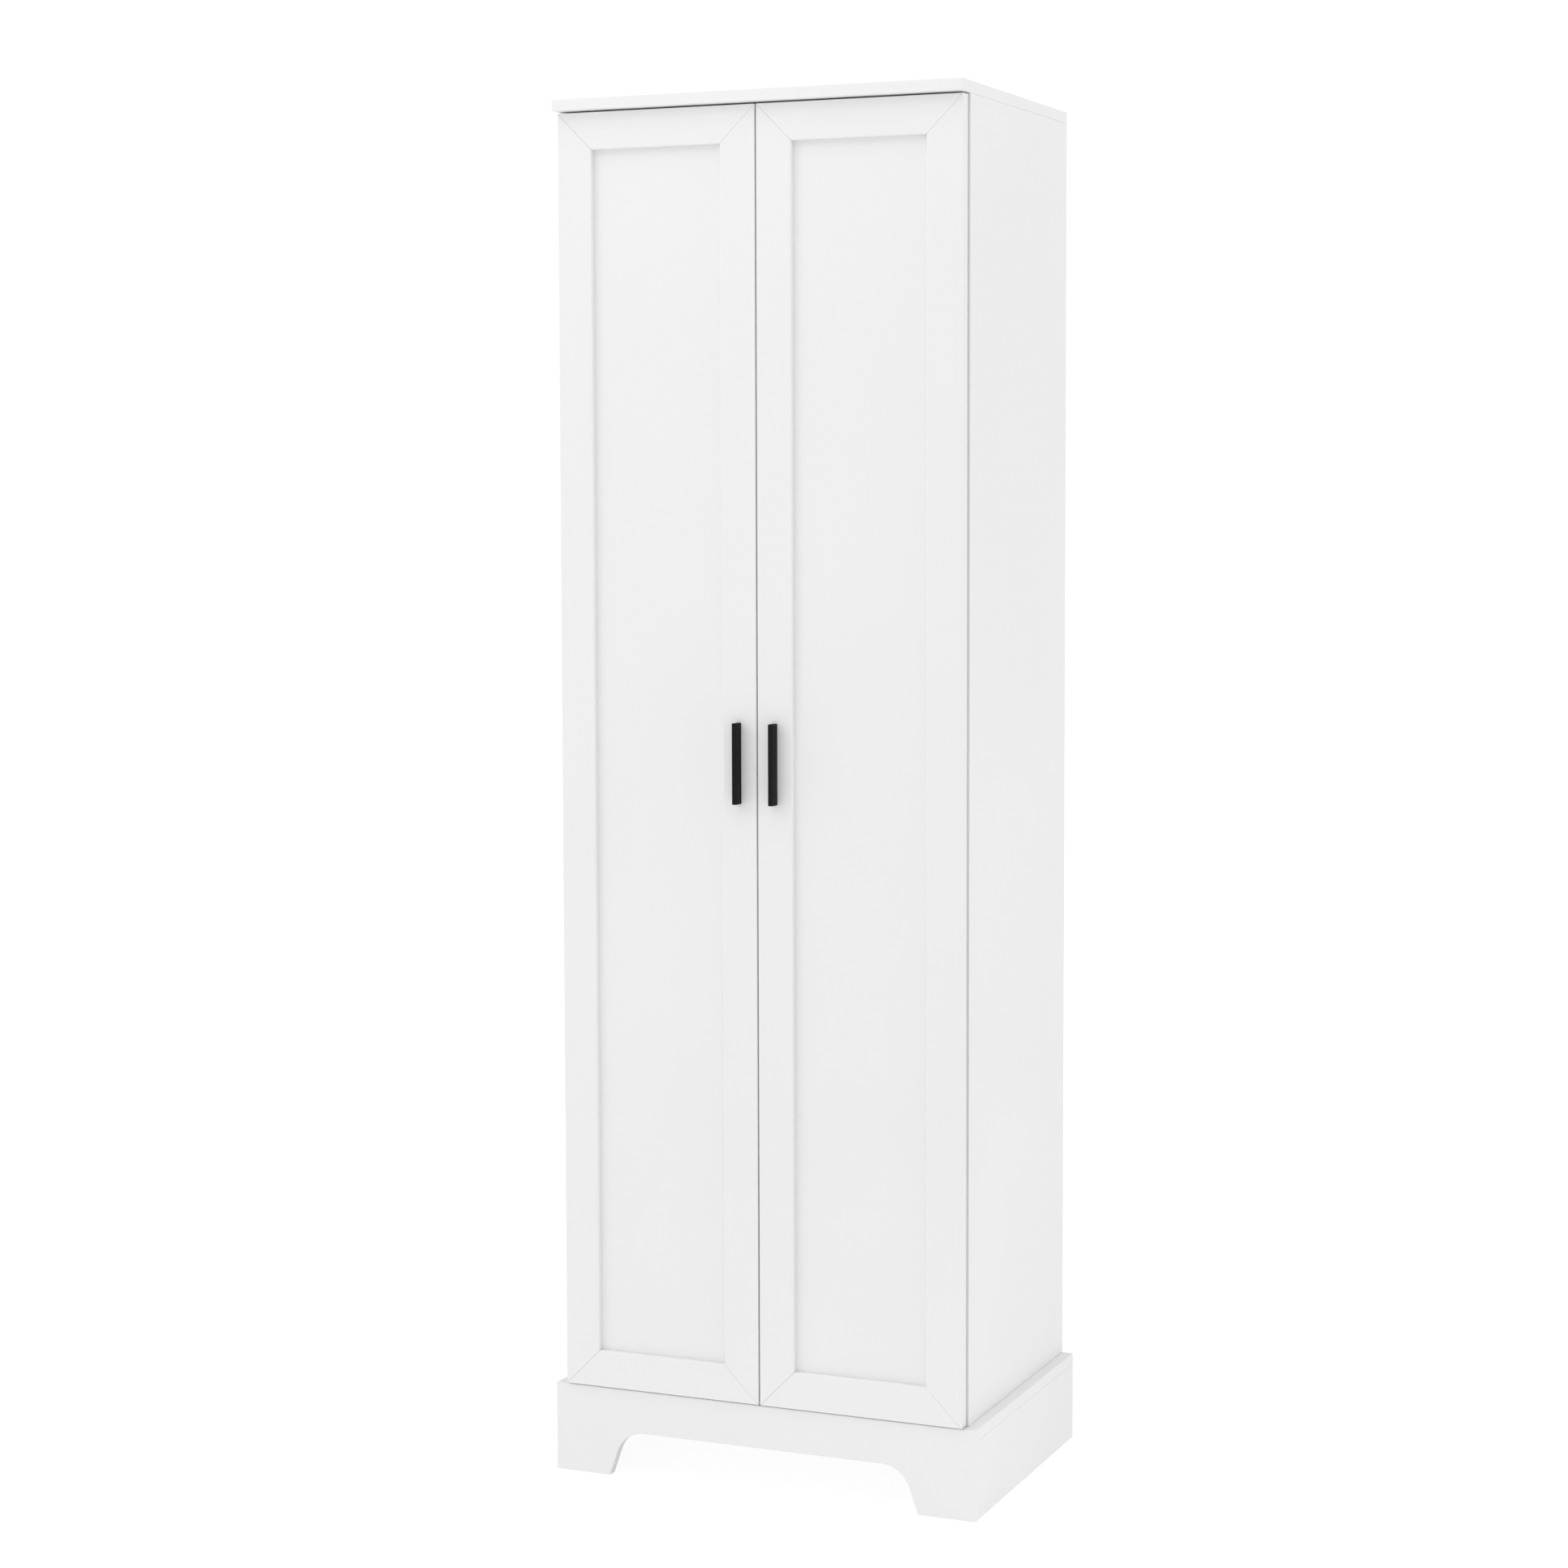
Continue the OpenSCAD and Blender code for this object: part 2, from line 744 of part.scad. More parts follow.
module meeting_stile(side) {
    member(side, [[door_x1, door_z0], [door_x1, door_z1],
        [door_x1 - frame_w, door_z1 - frame_w], [door_x1 - frame_w, door_z0 + frame_w]]);
}

module top_rail(side) {
    member(side, [[door_x0, door_z1], [door_x0 + frame_w, door_z1 - frame_w],
        [door_x1 - frame_w, door_z1 - frame_w], [door_x1, door_z1]]);
}

module bottom_rail(side) {
    member(side, [[door_x0, door_z0], [door_x1, door_z0],
        [door_x1 - frame_w, door_z0 + frame_w], [door_x0 + frame_w, door_z0 + frame_w]]);
}

module door_panel(side) {
    inset = frame_w - panel_in;
    color(WHITE_BOARD) on_side(side)
        block([door_x0 + inset, door_front_y + recess_d, door_z0 + inset],
            [door_x1 - inset, door_front_y + recess_d + panel_t, door_z1 - inset]);
}

module handle(side) {
    color(BLACK_METAL) on_side(side) difference() {
        block([handle_x - handle_w / 2, door_front_y - handle_d, door_mid_z - handle_h / 2],
            [handle_x + handle_w / 2, door_front_y, door_mid_z + handle_h / 2]);
        for (k = SIDES)
            rod_y([handle_x, door_front_y - handle_thread_l,
                door_mid_z + k * handle_screw_pitch / 2], handle_screw_r, handle_thread_l + 1);
    }
}

module handle_screws(side) {
    color(ZINC) on_side(side) for (k = SIDES) {
        z = door_mid_z + k * handle_screw_pitch / 2;
        rod_y([handle_x, door_front_y - handle_thread_l, z],
            handle_screw_r, door_t + handle_thread_l);
        rod_y([handle_x, door_back_y, z], handle_head_r, handle_head_t);
    }
}

// Soft button that meets the fixed shelf's front edge
module door_bumper(side) {
    color(CLEAR_PLASTIC) on_side(side)
        rod_y([bumper_x, door_back_y, shelf_mid_z], bumper_r, bumper_t);
}

// ---------------------------------------------------------------- nodes

top_panel();
side_panel(-1);  // left_side_panel
side_panel(1);  // right_side_panel
bottom_deck();
plinth_front_board();
plinth_skirt(-1);  // left_plinth_skirt
plinth_skirt(1);  // right_plinth_skirt
plinth_back_rail();
plinth_corner_blocks();
back_panel_upper();
back_panel_lower();
back_joint_strip();
wall_rail();
fixed_shelf();
adjustable_shelf(0);  // adjustable_shelf_1
adjustable_shelf(1);  // adjustable_shelf_2
adjustable_shelf(2);  // adjustable_shelf_3
adjustable_shelf(3);  // adjustable_shelf_4
shelf_pins();
cam_locks();
cam_bolts();
dowels();
plinth_screws();
back_nails();
hinge_plates();
hinge_plate_screws();
hinge_arms();
hinge_arm_screws();
hinge_stile(-1);  // left_hinge_stile
meeting_stile(-1);  // left_meeting_stile
top_rail(-1);  // left_top_rail
bottom_rail(-1);  // left_bottom_rail
door_panel(-1);  // left_door_panel
handle(-1);  // left_handle
handle_screws(-1);  // left_handle_screws
hinge_cups(-1);  // left_hinge_cups
hinge_pins(-1);  // left_hinge_pins
cup_screws(-1);  // left_cup_screws
door_bumper(-1);  // left_door_bumper
hinge_stile(1);  // right_hinge_stile
meeting_stile(1);  // right_meeting_stile
top_rail(1);  // right_top_rail
bottom_rail(1);  // right_bottom_rail
door_panel(1);  // right_door_panel
handle(1);  // right_handle
handle_screws(1);  // right_handle_screws
hinge_cups(1);  // right_hinge_cups
hinge_pins(1);  // right_hinge_pins
cup_screws(1);  // right_cup_screws
door_bumper(1);  // right_door_bumper
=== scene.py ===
import json
import math

import bmesh
import bpy
import numpy as np
from mathutils import Matrix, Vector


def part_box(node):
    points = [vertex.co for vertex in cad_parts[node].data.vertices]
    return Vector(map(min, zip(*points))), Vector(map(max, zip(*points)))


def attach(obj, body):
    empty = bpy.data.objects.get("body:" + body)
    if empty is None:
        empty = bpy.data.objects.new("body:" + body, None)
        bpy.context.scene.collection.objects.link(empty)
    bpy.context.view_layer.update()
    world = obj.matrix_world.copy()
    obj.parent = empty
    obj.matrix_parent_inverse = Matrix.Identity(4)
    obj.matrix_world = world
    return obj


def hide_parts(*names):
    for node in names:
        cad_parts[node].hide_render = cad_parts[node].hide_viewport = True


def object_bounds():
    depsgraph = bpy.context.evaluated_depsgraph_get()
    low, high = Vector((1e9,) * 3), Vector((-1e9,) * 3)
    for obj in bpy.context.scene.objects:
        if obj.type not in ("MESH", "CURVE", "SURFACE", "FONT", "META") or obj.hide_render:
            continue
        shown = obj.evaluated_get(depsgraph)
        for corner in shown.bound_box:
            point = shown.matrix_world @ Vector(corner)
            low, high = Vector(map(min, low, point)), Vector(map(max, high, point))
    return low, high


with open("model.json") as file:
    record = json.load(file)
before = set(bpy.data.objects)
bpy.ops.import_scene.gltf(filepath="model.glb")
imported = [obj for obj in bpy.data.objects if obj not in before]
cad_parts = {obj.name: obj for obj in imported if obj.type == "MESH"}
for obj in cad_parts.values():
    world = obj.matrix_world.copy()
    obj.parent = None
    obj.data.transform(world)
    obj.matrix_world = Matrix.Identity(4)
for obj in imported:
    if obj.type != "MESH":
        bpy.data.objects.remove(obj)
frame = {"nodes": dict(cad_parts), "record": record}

cad_low, cad_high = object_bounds()

# ------------------------------------------------------------------ camera
# A long lens a little above the middle of the cabinet and to its right. A small
# downward shift of the film keeps the upright edges almost parallel.

EYE = (1.6351, -3.9571, 1.3085)
LEFTWARDS, DOWNWARDS, ROLL = math.radians(23.004), math.radians(4.173), math.radians(-0.154)
camera = bpy.data.objects.new("camera", bpy.data.cameras.new("camera"))
camera.data.lens = 74.23
camera.data.sensor_width = 36
camera.data.shift_y = -0.0419
camera.data.clip_end = 200
camera.matrix_world = (
    Matrix.Translation(EYE)
    @ Matrix.Rotation(LEFTWARDS, 4, "Z")
    @ Matrix.Rotation(math.pi / 2 - DOWNWARDS, 4, "X")
    @ Matrix.Rotation(ROLL, 4, "Z")
)
bpy.context.scene.collection.objects.link(camera)
bpy.context.scene.camera = camera

# ------------------------------------------------------------------ room and light
# A white studio: a pale matt floor that runs into a white backdrop, a soft light from
# the front left, a wide one overhead and a third on the right.

FLOOR_SIDE = 60
FLOOR_GLOW = 0.27
FLOOR_AS_SEEN = 0.90
BACKDROP = 1.05
SURROUND = 0.70
KEY_POWER = 18
TOP_POWER = 48
FILL_POWER = 36


def lofted(name, stacks, *finishes):
    """Closed skins through stacks of rings: stacks[c, i, j] is point j of ring i of copy c.
    Quads join neighbouring rings, and each end ring is filled. Points that meet are merged."""
    stacks = np.asarray(stacks, float)
    stacks = stacks[None] if stacks.ndim == 3 else stacks
    copies, rings, points = stacks.shape[:3]
    first = (np.arange(copies) * rings * points)[:, None, None]
    ring = (np.arange(rings - 1) * points)[None, :, None]
    here = np.arange(points)[None, None, :]
    ahead = (here + 1) % points
    quads = np.stack([ring + here, ring + ahead, ring + points + ahead, ring + points + here], -1)
    quads = (first[..., None] + quads).reshape(-1, 4)
    low_end = first[:, :, 0] + np.arange(points)[::-1]
    high_end = first[:, :, 0] + (rings - 1) * points + np.arange(points)
    mesh = bpy.data.meshes.new(name)
    faces = quads.tolist() + low_end.tolist() + high_end.tolist()
    mesh.from_pydata(stacks.reshape(-1, 3), [], faces)
    work = bmesh.new()
    work.from_mesh(mesh)
    bmesh.ops.remove_doubles(work, verts=work.verts, dist=2e-6)
    bmesh.ops.recalc_face_normals(work, faces=work.faces)
    work.to_mesh(mesh)
    work.free()
    for finish in finishes:
        mesh.materials.append(finish)
    piece = bpy.data.objects.new(name, mesh)
    bpy.context.scene.collection.objects.link(piece)
    return piece


def finish_of(name, tones, blotch, shine, grain, relief, metallic=0, gloss=0.5):
    """A finish whose colour drifts between two tones over blotches of that size, whose
    roughness drifts between two values over grains of that size, and whose grains stand
    up by relief."""
    finish = bpy.data.materials.new(name)
    finish.use_nodes = True
    nodes, links = finish.node_tree.nodes, finish.node_tree.links
    shader = nodes["Principled BSDF"]
    place = nodes.new("ShaderNodeTexCoord").outputs["Object"]
    drift, fine = nodes.new("ShaderNodeTexNoise"), nodes.new("ShaderNodeTexNoise")
    drift.inputs["Scale"].default_value = 1 / blotch
    drift.inputs["Detail"].default_value = 3
    fine.inputs["Scale"].default_value = 1 / grain
    fine.inputs["Detail"].default_value = 3
    tone = nodes.new("ShaderNodeValToRGB")
    for stop, position, colour in zip(tone.color_ramp.elements, (0.35, 0.65), tones):
        stop.position = position
        stop.color = (*colour, 1)
    rough = nodes.new("ShaderNodeMapRange")
    rough.inputs["From Min"].default_value = 0.3
    rough.inputs["From Max"].default_value = 0.7
    rough.inputs["To Min"].default_value = shine[0]
    rough.inputs["To Max"].default_value = shine[1]
    bump = nodes.new("ShaderNodeBump")
    bump.inputs["Strength"].default_value = 0.6
    bump.inputs["Distance"].default_value = relief
    links.new(place, drift.inputs["Vector"])
    links.new(place, fine.inputs["Vector"])
    links.new(drift.outputs["Fac"], tone.inputs["Fac"])
    links.new(tone.outputs["Color"], shader.inputs["Base Color"])
    links.new(fine.outputs["Fac"], rough.inputs["Value"])
    links.new(rough.outputs["Result"], shader.inputs["Roughness"])
    links.new(fine.outputs["Fac"], bump.inputs["Height"])
    links.new(bump.outputs["Normal"], shader.inputs["Normal"])
    shader.inputs["Metallic"].default_value = metallic
    shader.inputs["Specular IOR Level"].default_value = gloss
    return finish


def by_camera_ray(tree, others, seen, outlet):
    """Joins two shaders to an outlet: the camera's own rays meet the one that is seen, and
    all other rays meet the first."""
    ray = tree.nodes.new("ShaderNodeLightPath")
    either = tree.nodes.new("ShaderNodeMixShader")
    tree.links.new(ray.outputs["Is Camera Ray"], either.inputs[0])
    tree.links.new(others.outputs[0], either.inputs[1])
    tree.links.new(seen.outputs[0], either.inputs[2])
    tree.links.new(either.outputs[0], tree.nodes[outlet].inputs["Surface"])


square = np.array([[-1, -1], [1, -1], [1, 1], [-1, 1]]) * FLOOR_SIDE / 2
floor_white = finish_of("floor_white", ((0.80,) * 3, (0.82,) * 3), 1.5, (0.8, 0.9), 0.004, 2e-5)
floor_tree = floor_white.node_tree
pale, glowing = floor_tree.nodes["Principled BSDF"], floor_tree.nodes.new("ShaderNodeBsdfPrincipled")
glowing.inputs["Base Color"].default_value = (0.2, 0.2, 0.2, 1)
glowing.inputs["Roughness"].default_value = 1
glowing.inputs["Specular IOR Level"].default_value = 0
for shader, glow in ((pale, FLOOR_GLOW), (glowing, FLOOR_AS_SEEN)):
    shader.inputs["Emission Color"].default_value = (1, 1, 1, 1)
    shader.inputs["Emission Strength"].default_value = glow
by_camera_ray(floor_tree, pale, glowing, "Material Output")
floor = lofted("floor", [np.c_[square, np.full(4, z)] for z in (-0.01, 0.0)], floor_white)

world = bpy.data.worlds.new("surround")
bpy.context.scene.world = world
world.use_nodes = True
surround = world.node_tree.nodes["Background"]
backdrop = world.node_tree.nodes.new("ShaderNodeBackground")
for shader, strength in ((surround, SURROUND), (backdrop, BACKDROP)):
    shader.inputs["Color"].default_value = (1, 1, 1, 1)
    shader.inputs["Strength"].default_value = strength
by_camera_ray(world.node_tree, surround, backdrop, "World Output")


def soft_light(name, place, aim, size, power):
    """A square area light at place, turned to face aim."""
    light = bpy.data.objects.new(name, bpy.data.lights.new(name, "AREA"))
    light.data.size = size
    light.data.energy = power
    away = np.subtract(place, aim)
    tilt = math.atan2(math.hypot(away[0], away[1]), away[2])
    light.location = place
    light.rotation_euler = (tilt, 0, math.atan2(away[0], -away[1]))
    bpy.context.scene.collection.objects.link(light)


middle = tuple((cad_low + cad_high) / 2)
soft_light("key_light", (-3.2, -2.6, 2.9), middle, 1.9, KEY_POWER)
soft_light("top_light", (-0.5, -1.6, 4.5), middle, 3.4, TOP_POWER)
soft_light("fill_light", (4.2, 0.2, 3.2), middle, 2.5, FILL_POWER)
bpy.context.scene.view_settings.view_transform = "Standard"

# ------------------------------------------------------------------ carcass and plinth boards
# Fibreboard wrapped in smooth satin white foil, 15 mm thick, with lightly eased edges
# and bare rear edges. Each board is bored for its cams, bolts, dowels, screws and pins.

EASED = 0.0009
WALL_FIXING = next(m for m in frame["record"]["mounts"] if m["name"] == "wall_fixing")
WALL_HOLE = WALL_FIXING["dims"]["hole_r_mm"] / 1000
WALL_PITCH = WALL_FIXING["dims"]["spacing_x_mm"] / 1000
WALL_DRILL = 0.04
CAM_HOLE, CAM_DEPTH = 0.0075, 0.0125
BOLT_HOLE, THREAD_HOLE, THREAD_LENGTH = 0.004, 0.0025, 0.010
DOWEL_HOLE = 0.004
PIN_HOLE, PIN_DEPTH, PIN_STEP = 0.0025, 0.010, 0.032
PLATE_SCREW_HOLE, PLATE_SCREW_DEPTH = 0.00315, 0.011
BLOCK_SCREW_HOLE = 0.00175
OVERLAP = 0.0005
JOINTED = ("left_side_panel", "right_side_panel", "fixed_shelf", "wall_rail")

foil = finish_of("white_foil", ((0.852, 0.848, 0.848), (0.864, 0.861, 0.861)), 0.35,
                 (0.40, 0.50), 0.0012, 4e-6, gloss=0.35)
bare = finish_of("bare_fibreboard", ((0.42, 0.31, 0.20), (0.55, 0.43, 0.30)), 0.0012,
                 (0.85, 0.95), 0.0004, 8e-5, gloss=0.2)


def solids(node):
    """Lowest and highest corners of each loose solid in a CAD node, of shape (solids, 2, 3).
    Each point takes the lowest label among its neighbours until no label changes."""
    mesh = frame["nodes"][node].data
    points = np.empty(len(mesh.vertices) * 3)
    edges = np.empty(len(mesh.edges) * 2, int)
    mesh.vertices.foreach_get("co", points)
    mesh.edges.foreach_get("vertices", edges)
    places, same = np.unique(points.reshape(-1, 3).round(6), axis=0, return_inverse=True)
    a, b = same.ravel()[edges.reshape(-1, 2)].T
    label, last = np.arange(len(places)), None
    while last is None or (label != last).any():
        last = label.copy()
        np.minimum.at(label, a, last[b])
        np.minimum.at(label, b, last[a])
        label = label[label]
    groups = [places[label == k] for k in np.unique(label)]
    return np.array([[g.min(0), g.max(0)] for g in groups])


def turned(radii, heights, centres, ways, sides=24, spin=0):
    """Rings of parts turned on a lathe, one copy per centre. A ring at height h has radius
    r, one number or one for each of its sides, and its points are centre + h * way +
    r * (cos t * first + sin t * second), where first and second are square to way."""
    centres, ways, radii = np.atleast_2d(centres), np.atleast_2d(ways), np.asarray(radii, float)
    ways = np.broadcast_to(ways, centres.shape).astype(float)
    radii = radii[:, None] * np.ones(sides) if radii.ndim == 1 else radii
    t = np.arange(radii.shape[1]) * 2 * math.pi / radii.shape[1]
    t = t + np.broadcast_to(spin, len(centres))[:, None]
    first = np.cross(ways, np.eye(3)[np.argmin(np.abs(ways), axis=1)])
    second = np.cross(ways, first)
    rim = np.cos(t)[..., None] * first[:, None] + np.sin(t)[..., None] * second[:, None]
    lift = np.asarray(heights, float)[None, :, None, None] * ways[:, None, None]
    return centres[:, None, None] + radii[None, ..., None] * rim[:, None] + lift


def rods(starts, ways, length, radius):
    """Plain rods, each two rings: one at its start and one at length along its way."""
    return turned((radius, radius), (0, length), starts, ways, 32)


def carved(piece, rings, operation="DIFFERENCE", *finishes):
    """Cuts other closed shapes out of a piece, or welds them to it. The faces they leave
    on it keep their own finish."""
    other = rings if isinstance(rings, bpy.types.Object) else lofted("other", rings, *finishes)
    change = piece.modifiers.new("carving", "BOOLEAN")
    change.object = other
    change.operation = operation
    change.solver = "EXACT"
    change.use_self = True
    change.material_mode = "TRANSFER"
    bpy.context.view_layer.update()
    made = piece.evaluated_get(bpy.context.evaluated_depsgraph_get())
    mesh = bpy.data.meshes.new_from_object(made)
    piece.modifiers.clear()
    piece.data = mesh
    bpy.data.objects.remove(other)


def eased_box(low, high, edge, steps=3):
    """Rings of a box with rounded edges: each inner corner plus edge times the unit normal
    (cos p cos t, cos p sin t, sin p). Angles t and p stop and start again at each corner."""
    low, high = np.asarray(low, float), np.asarray(high, float)
    quarter = np.linspace(0, math.pi / 2, steps + 1)
    t = (np.arange(4)[:, None] * math.pi / 2 + quarter).ravel()
    p = np.r_[quarter - math.pi / 2, quarter]
    core, centre = (high - low) / 2 - edge, (high + low) / 2
    x_core = centre[0] + np.repeat([1, -1, -1, 1], steps + 1) * core[0]
    y_core = centre[1] + np.repeat([1, 1, -1, -1], steps + 1) * core[1]
    z_core = centre[2] + np.repeat([-1, 1], steps + 1) * core[2]
    x = x_core + edge * np.outer(np.cos(p), np.cos(t))
    y = y_core + edge * np.outer(np.cos(p), np.sin(t))
    z = z_core + edge * np.sin(p)
    return np.stack([x, y, np.repeat(z[:, None], t.size, 1)], -1)


def placed(piece, body, slot, *nodes):
    """Sets a piece on its body in place of its CAD nodes. The slot is not used."""
    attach(piece, body)
    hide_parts(*nodes)


def longest(boxes):
    """The unit vector along each box's longest side."""
    return np.eye(3)[np.argmax(boxes[:, 1] - boxes[:, 0], axis=1)]


def signs(offsets, axes):
    """Each axis, pointing the way of its offset."""
    return axes * np.sign((offsets * axes).sum(1))[:, None]


# Cams open towards the inside of the cabinet: to the side of the board on which they sit
cam_boxes, bolt_boxes, dowel_boxes = solids("cam_locks"), solids("cam_bolts"), solids("dowels")
cams, bolts, dowel_mids = cam_boxes.mean(1), bolt_boxes.mean(1), dowel_boxes.mean(1)
jointed = np.array([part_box(node) for node in JOINTED])
holds = (cams[:, None] > jointed[:, 0]).all(-1) & (cams[:, None] < jointed[:, 1]).all(-1)
cam_axes = np.eye(3)[np.argmin(cam_boxes[:, 1] - cam_boxes[:, 0], axis=1)]
cam_ways = signs(cams - jointed.mean(1)[holds.argmax(1)], cam_axes)
cam_height = np.ptp(cam_boxes[0], axis=0).min()
nearest = np.linalg.norm(bolts[:, None] - cams, axis=-1).argmin(1)
bolt_ways = signs(cams[nearest] - bolts, longest(bolt_boxes))
bolt_length = np.ptp(bolt_boxes[0], axis=0).max()
bolt_tails = bolts - bolt_ways * bolt_length / 2
bolt_seats = bolt_tails + bolt_ways * THREAD_LENGTH
dowel_ways = longest(dowel_boxes)
dowel_length = np.ptp(dowel_boxes[0], axis=0).max()

pins, plate_screws = solids("shelf_pins"), solids("hinge_plate_screws")
pin_mids, plate_screw_mids = pins.mean(1), plate_screws.mean(1)
inner_face = -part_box("left_side_panel")[1][0]


def from_inner_face(mids, depth, radius, lifts=(0,)):
    """Rods that enter the side panels from their inner faces, repeated at each lift."""
    out = np.sign(mids[:, :1]) * (1, 0, 0)
    starts = mids * (0, 1, 1) + out * (inner_face - OVERLAP)
    starts = (starts + np.multiply.outer(lifts, (0, 0, 1))[:, None]).reshape(-1, 3)
    return rods(starts, np.tile(out, (len(lifts), 1)), depth + OVERLAP, radius)


block_screws = solids("plinth_screws")
plinth_middle = np.mean([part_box("plinth_back_rail")[0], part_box("plinth_front_board")[1]], axis=0)
block_screw_ways = signs(block_screws.mean(1) - plinth_middle, longest(block_screws))
block_screw_length = np.ptp(block_screws[0], axis=0).max()
block_screw_tips = block_screws.mean(1) + block_screw_ways * block_screw_length / 2
wall_hole_starts = WALL_FIXING["pos_m"] + np.array([[-WALL_PITCH / 2, -WALL_DRILL / 2, 0],
                                                    [WALL_PITCH / 2, -WALL_DRILL / 2, 0]])
bores = np.concatenate([
    rods(cams + cam_ways * (cam_height / 2 + OVERLAP), -cam_ways, CAM_DEPTH + OVERLAP, CAM_HOLE),
    rods(bolt_tails, bolt_ways, THREAD_LENGTH + OVERLAP, THREAD_HOLE),
    rods(bolt_seats, bolt_ways, bolt_length - THREAD_LENGTH, BOLT_HOLE),
    rods(dowel_mids - dowel_ways * (dowel_length / 2 + OVERLAP), dowel_ways,
         dowel_length + 2 * OVERLAP, DOWEL_HOLE),
    from_inner_face(pin_mids, PIN_DEPTH, PIN_HOLE, np.arange(-2, 3) * PIN_STEP),
    from_inner_face(plate_screw_mids, PLATE_SCREW_DEPTH, PLATE_SCREW_HOLE),
    rods(block_screw_tips, -block_screw_ways, block_screw_length, BLOCK_SCREW_HOLE),
    rods(wall_hole_starts, (0, 1, 0), WALL_DRILL, WALL_HOLE),
])
bore_low, bore_high = bores.min((1, 2)), bores.max((1, 2))


def bored(piece, node):
    """Bores a piece wherever a rod runs deeper into its CAD node than the rods' overlap."""
    low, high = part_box(node)
    meets = (bore_low < np.subtract(high, 1.5 * OVERLAP)) & (bore_high > np.add(low, 1.5 * OVERLAP))
    if meets.all(1).any():
        carved(piece, bores[meets.all(1)], "DIFFERENCE", bare)


def bare_rear(piece):
    """Leaves the faces that look straight back without foil."""
    normals = np.empty(len(piece.data.polygons) * 3)
    piece.data.polygons.foreach_get("normal", normals)
    piece.data.polygons.foreach_set("material_index", (normals[1::3] > 0.99).astype(int))


for node in ("left_plinth_skirt", "right_plinth_skirt", "plinth_back_rail", "bottom_deck",
             "left_side_panel", "right_side_panel", "fixed_shelf", "wall_rail", "top_panel",
             "adjustable_shelf_1", "adjustable_shelf_2", "adjustable_shelf_3",
             "adjustable_shelf_4"):
    board = lofted(node + "_board", eased_box(*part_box(node), EASED), foil, bare)
    if "rail" not in node:
        bare_rear(board)
    bored(board, node)
    placed(board, "carcass", "white_board", node)

# ------------------------------------------------------------------ plinth front
# One board across both feet, with an arched cut-out: a flat top, leaning sides and
# round upper corners. It is sawn from the same white board, and its edges are eased.

FOOT_WIDTH = 0.0775
ARCH_HEIGHT = 0.0606
ARCH_LEAN = math.radians(19.5)
ARCH_CORNER = 0.040


def inset(outline, by):
    """A counter-clockwise outline moved inwards: each point goes along the sum of its two
    edges' normals, as far as keeps both edges by from where they were."""
    edge = np.roll(outline, -1, 0) - outline
    edge /= np.linalg.norm(edge, axis=1)[:, None]
    after = np.stack([-edge[:, 1], edge[:, 0]], 1)
    before = np.roll(after, 1, 0)
    return outline + by * (before + after) / (1 + (before * after).sum(1))[:, None]


def eased_slab(outline, low, high, edge, plane, steps=3):
    """Rings of an outline given a thickness from low to high, across the plane's two axes,
    with edges rounded by a quarter circle: inset and depth are edge * (1 - sin, 1 - cos)."""
    outline = np.asarray(outline, float)
    angle = np.linspace(0, math.pi / 2, steps + 1)
    insets = edge * (1 - np.sin(angle))
    depths = edge * (1 - np.cos(angle))
    rings = np.stack([inset(outline, by) for by in np.r_[insets, insets[::-1]]])
    level = np.r_[low + depths, high - depths[::-1]][:, None] * np.ones(len(outline))
    columns = {plane[0]: rings[..., 0], plane[1]: rings[..., 1]}
    return np.stack([columns.get(axis, level) for axis in "xyz"], -1)


def arc(centre, radius, start, end, steps=8):
    """Points on a circle from one angle to another."""
    angle = np.linspace(start, end, steps + 1)
    return np.stack([centre[0] + radius * np.cos(angle), centre[1] + radius * np.sin(angle)], 1)


low, high = np.array(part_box("plinth_front_board"))
foot_x = high[0] - FOOT_WIDTH
arch_x = foot_x - ARCH_HEIGHT * math.tan(ARCH_LEAN)
corner_x = arch_x - ARCH_CORNER * math.tan((math.pi / 2 - ARCH_LEAN) / 2)
corner_z = ARCH_HEIGHT - ARCH_CORNER
right_half = np.concatenate([
    arc((corner_x, corner_z), ARCH_CORNER, math.pi / 2, ARCH_LEAN, 16),
    [[foot_x, 0], [high[0], 0], [high[0], high[2]]],
])
outline = np.concatenate([right_half, right_half[::-1] * (-1, 1)])
plinth_front = lofted("plinth_front_board_arched",
                      eased_slab(outline, low[1], high[1], EASED, "xz"), foil, bare)
bored(plinth_front, "plinth_front_board")
placed(plinth_front, "carcass", "white_board", "plinth_front_board")

# ------------------------------------------------------------------ plinth corner blocks
# White moulded blocks in the plinth's inner corners. Three zinc-plated screws in each
# pull the boards together, and the upright one runs up a shaft into the deck.

BLOCK_EASED = 0.0015
BLOCK_SCREW_HEAD, HEAD_RISE = 0.0035, 0.0015
SHAFT_RADIUS, SHAFT_LENGTH = 0.0045, 0.08

plastic = finish_of("white_plastic", ((0.78, 0.78, 0.76), (0.81, 0.81, 0.79)), 0.05,
                    (0.40, 0.52), 0.0006, 2e-5)
blocks = solids("plinth_corner_blocks")
corner_blocks = lofted("plinth_corner_block_set",
                       [eased_box(*block, BLOCK_EASED) for block in blocks], plastic)
upright = block_screw_ways[:, 2] > 0.5
shank_start = block_screw_tips - block_screw_ways * block_screw_length
carved(corner_blocks, np.concatenate([
    rods(block_screw_tips, -block_screw_ways, block_screw_length, BLOCK_SCREW_HOLE),
    rods(shank_start[upright] + (0, 0, HEAD_RISE), (0, 0, -1), SHAFT_LENGTH, SHAFT_RADIUS),
]), "DIFFERENCE", plastic)
placed(corner_blocks, "carcass", "white_plastic", "plinth_corner_blocks")

